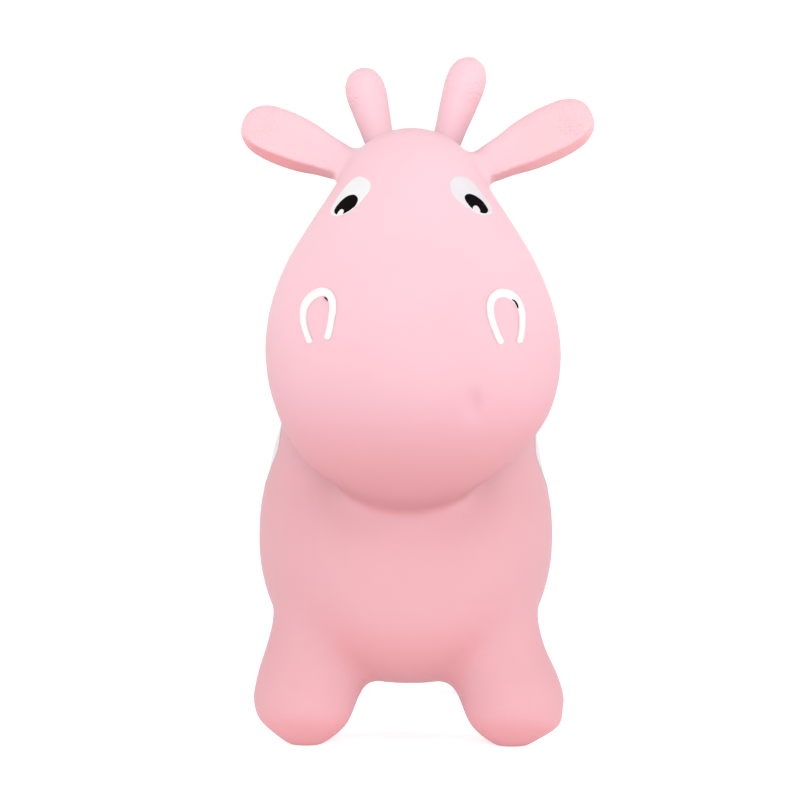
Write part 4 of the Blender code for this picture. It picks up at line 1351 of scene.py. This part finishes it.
def paper_sweep():
    """White paper that lies under the toy and curves up behind it."""
    profile = [(SWEEP_FROM, 0.0), (SWEEP_FLAT_TO, 0.0)]
    for angle in np.linspace(0.1, math.pi / 2, 14):
        up = SWEEP_RADIUS * (1 - math.cos(angle))
        profile.append((SWEEP_FLAT_TO + SWEEP_RADIUS * math.sin(angle), up))
    profile.append((SWEEP_FLAT_TO + SWEEP_RADIUS, SWEEP_TOP))
    bm = bmesh.new()
    rows = [[bm.verts.new((x, y, z)) for x in (-SWEEP_WIDTH / 2, SWEEP_WIDTH / 2)]
            for y, z in profile]
    for low, high in zip(rows, rows[1:]):
        bm.faces.new((low[0], low[1], high[1], high[0]))
    sweep = link("studio_sweep", mesh_of(bm, "studio_sweep"))
    dress(sweep, studio_white())


def studio_light():
    """An even white world and a few softboxes."""
    world = bpy.data.worlds.new("studio_light")
    world.use_nodes = True
    background = world.node_tree.nodes["Background"]
    background.inputs["Color"].default_value = (1.0, 1.0, 1.0, 1)
    background.inputs["Strength"].default_value = WORLD_STRENGTH
    bpy.context.scene.world = world
    bpy.context.scene.view_settings.view_transform = "Standard"
    for name, place, aim, size, power in LIGHTS:
        light = bpy.data.lights.new(name, "AREA")
        light.shape = "SQUARE"
        light.size = size
        light.energy = power
        lamp = link(name, light)
        lamp.location = place
        lamp.rotation_euler = (Vector(aim) - Vector(place)).to_track_quat("-Z", "Y").to_euler()


def camera():
    """A long lens at the photograph's angle."""
    lens = bpy.data.cameras.new("camera")
    lens.sensor_width = SENSOR_WIDTH_MM
    lens.lens = LENS_MM
    lens.shift_x = LENS_SHIFT
    turn, down = math.radians(CAMERA_TURN_DEGREES), math.radians(CAMERA_DOWN_DEGREES)
    ahead = Vector((math.sin(turn) * math.cos(down), math.cos(turn) * math.cos(down),
                    -math.sin(down)))
    made = link("camera", lens)
    made.location = Vector(CAMERA_AIM) - ahead * CAMERA_DISTANCE
    look = ahead.to_track_quat("-Z", "Y").to_matrix()
    roll = Matrix.Rotation(math.radians(CAMERA_ROLL_DEGREES), 3, "Z")
    made.rotation_euler = (look @ roll).to_euler()
    bpy.context.scene.camera = made


def main():
    """Build the finished toy and its studio."""
    limbs = [Ear(side_name, *EARS[side_name]) for side_name in SIDES]
    limbs += [Horn(side_name, *HORNS[side_name]) for side_name in SIDES]
    limbs += [Tail()]
    pink = vinyl()
    whites = {name: white_paint(name, *tints) for name, tints in WHITE_PAINTS.items()}
    black = black_paint()
    paper_sweep()
    studio_light()
    camera()
    skin = whole_skin(limbs)
    surface = Surface(skin)
    owner = part_skin(skin, limbs)
    body = body_piece(skin, owner < 0)
    dress(body, pink)
    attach(body, "toy")
    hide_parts("body_skin")
    for number, limb in enumerate(limbs):
        piece = link(limb.body + "_skin", limb_mesh(skin, limb, owner == number))
        dress(piece, pink)
        # How far along the limb the piece's open edge comes, with a small clearance beyond it.
        still = edge_reach(piece.data, limb) + BEND_CLEARANCE
        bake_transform(piece)
        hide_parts(limb.body, limb.body + "_root")
    for side_name in SIDES:
        eye_white = whites[side_name + "_eye_paint"]
        white, pupil, glint = eye(side_name, surface)
        rim = nostril_rim(side_name, surface)
        patch = patch_paint(side_name, surface)
        for piece, finish, slot, node in (
                (white, eye_white, "white_paint", "eye_white"),
                (pupil, black, "black_paint", "pupil"),
                (glint, eye_white, "white_paint", "eye_glint"),
                (rim, whites["nostril_rim_paint"], "white_paint", "nostril_rim"),
                (patch, whites["flank_patch_paint_with_painted_shade"], "white_paint", "flank_patch")):
            dress(piece, finish)
            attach(piece, "toy")
            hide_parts(side_name + "_" + node)
        fleck = nostril_fleck(side_name, surface)
        dress(fleck, black)
        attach(fleck, "toy")
    dress(frame["nodes"]["valve_seat"], pink)
    dress(frame["nodes"]["valve_plug"], plug_vinyl())


main()
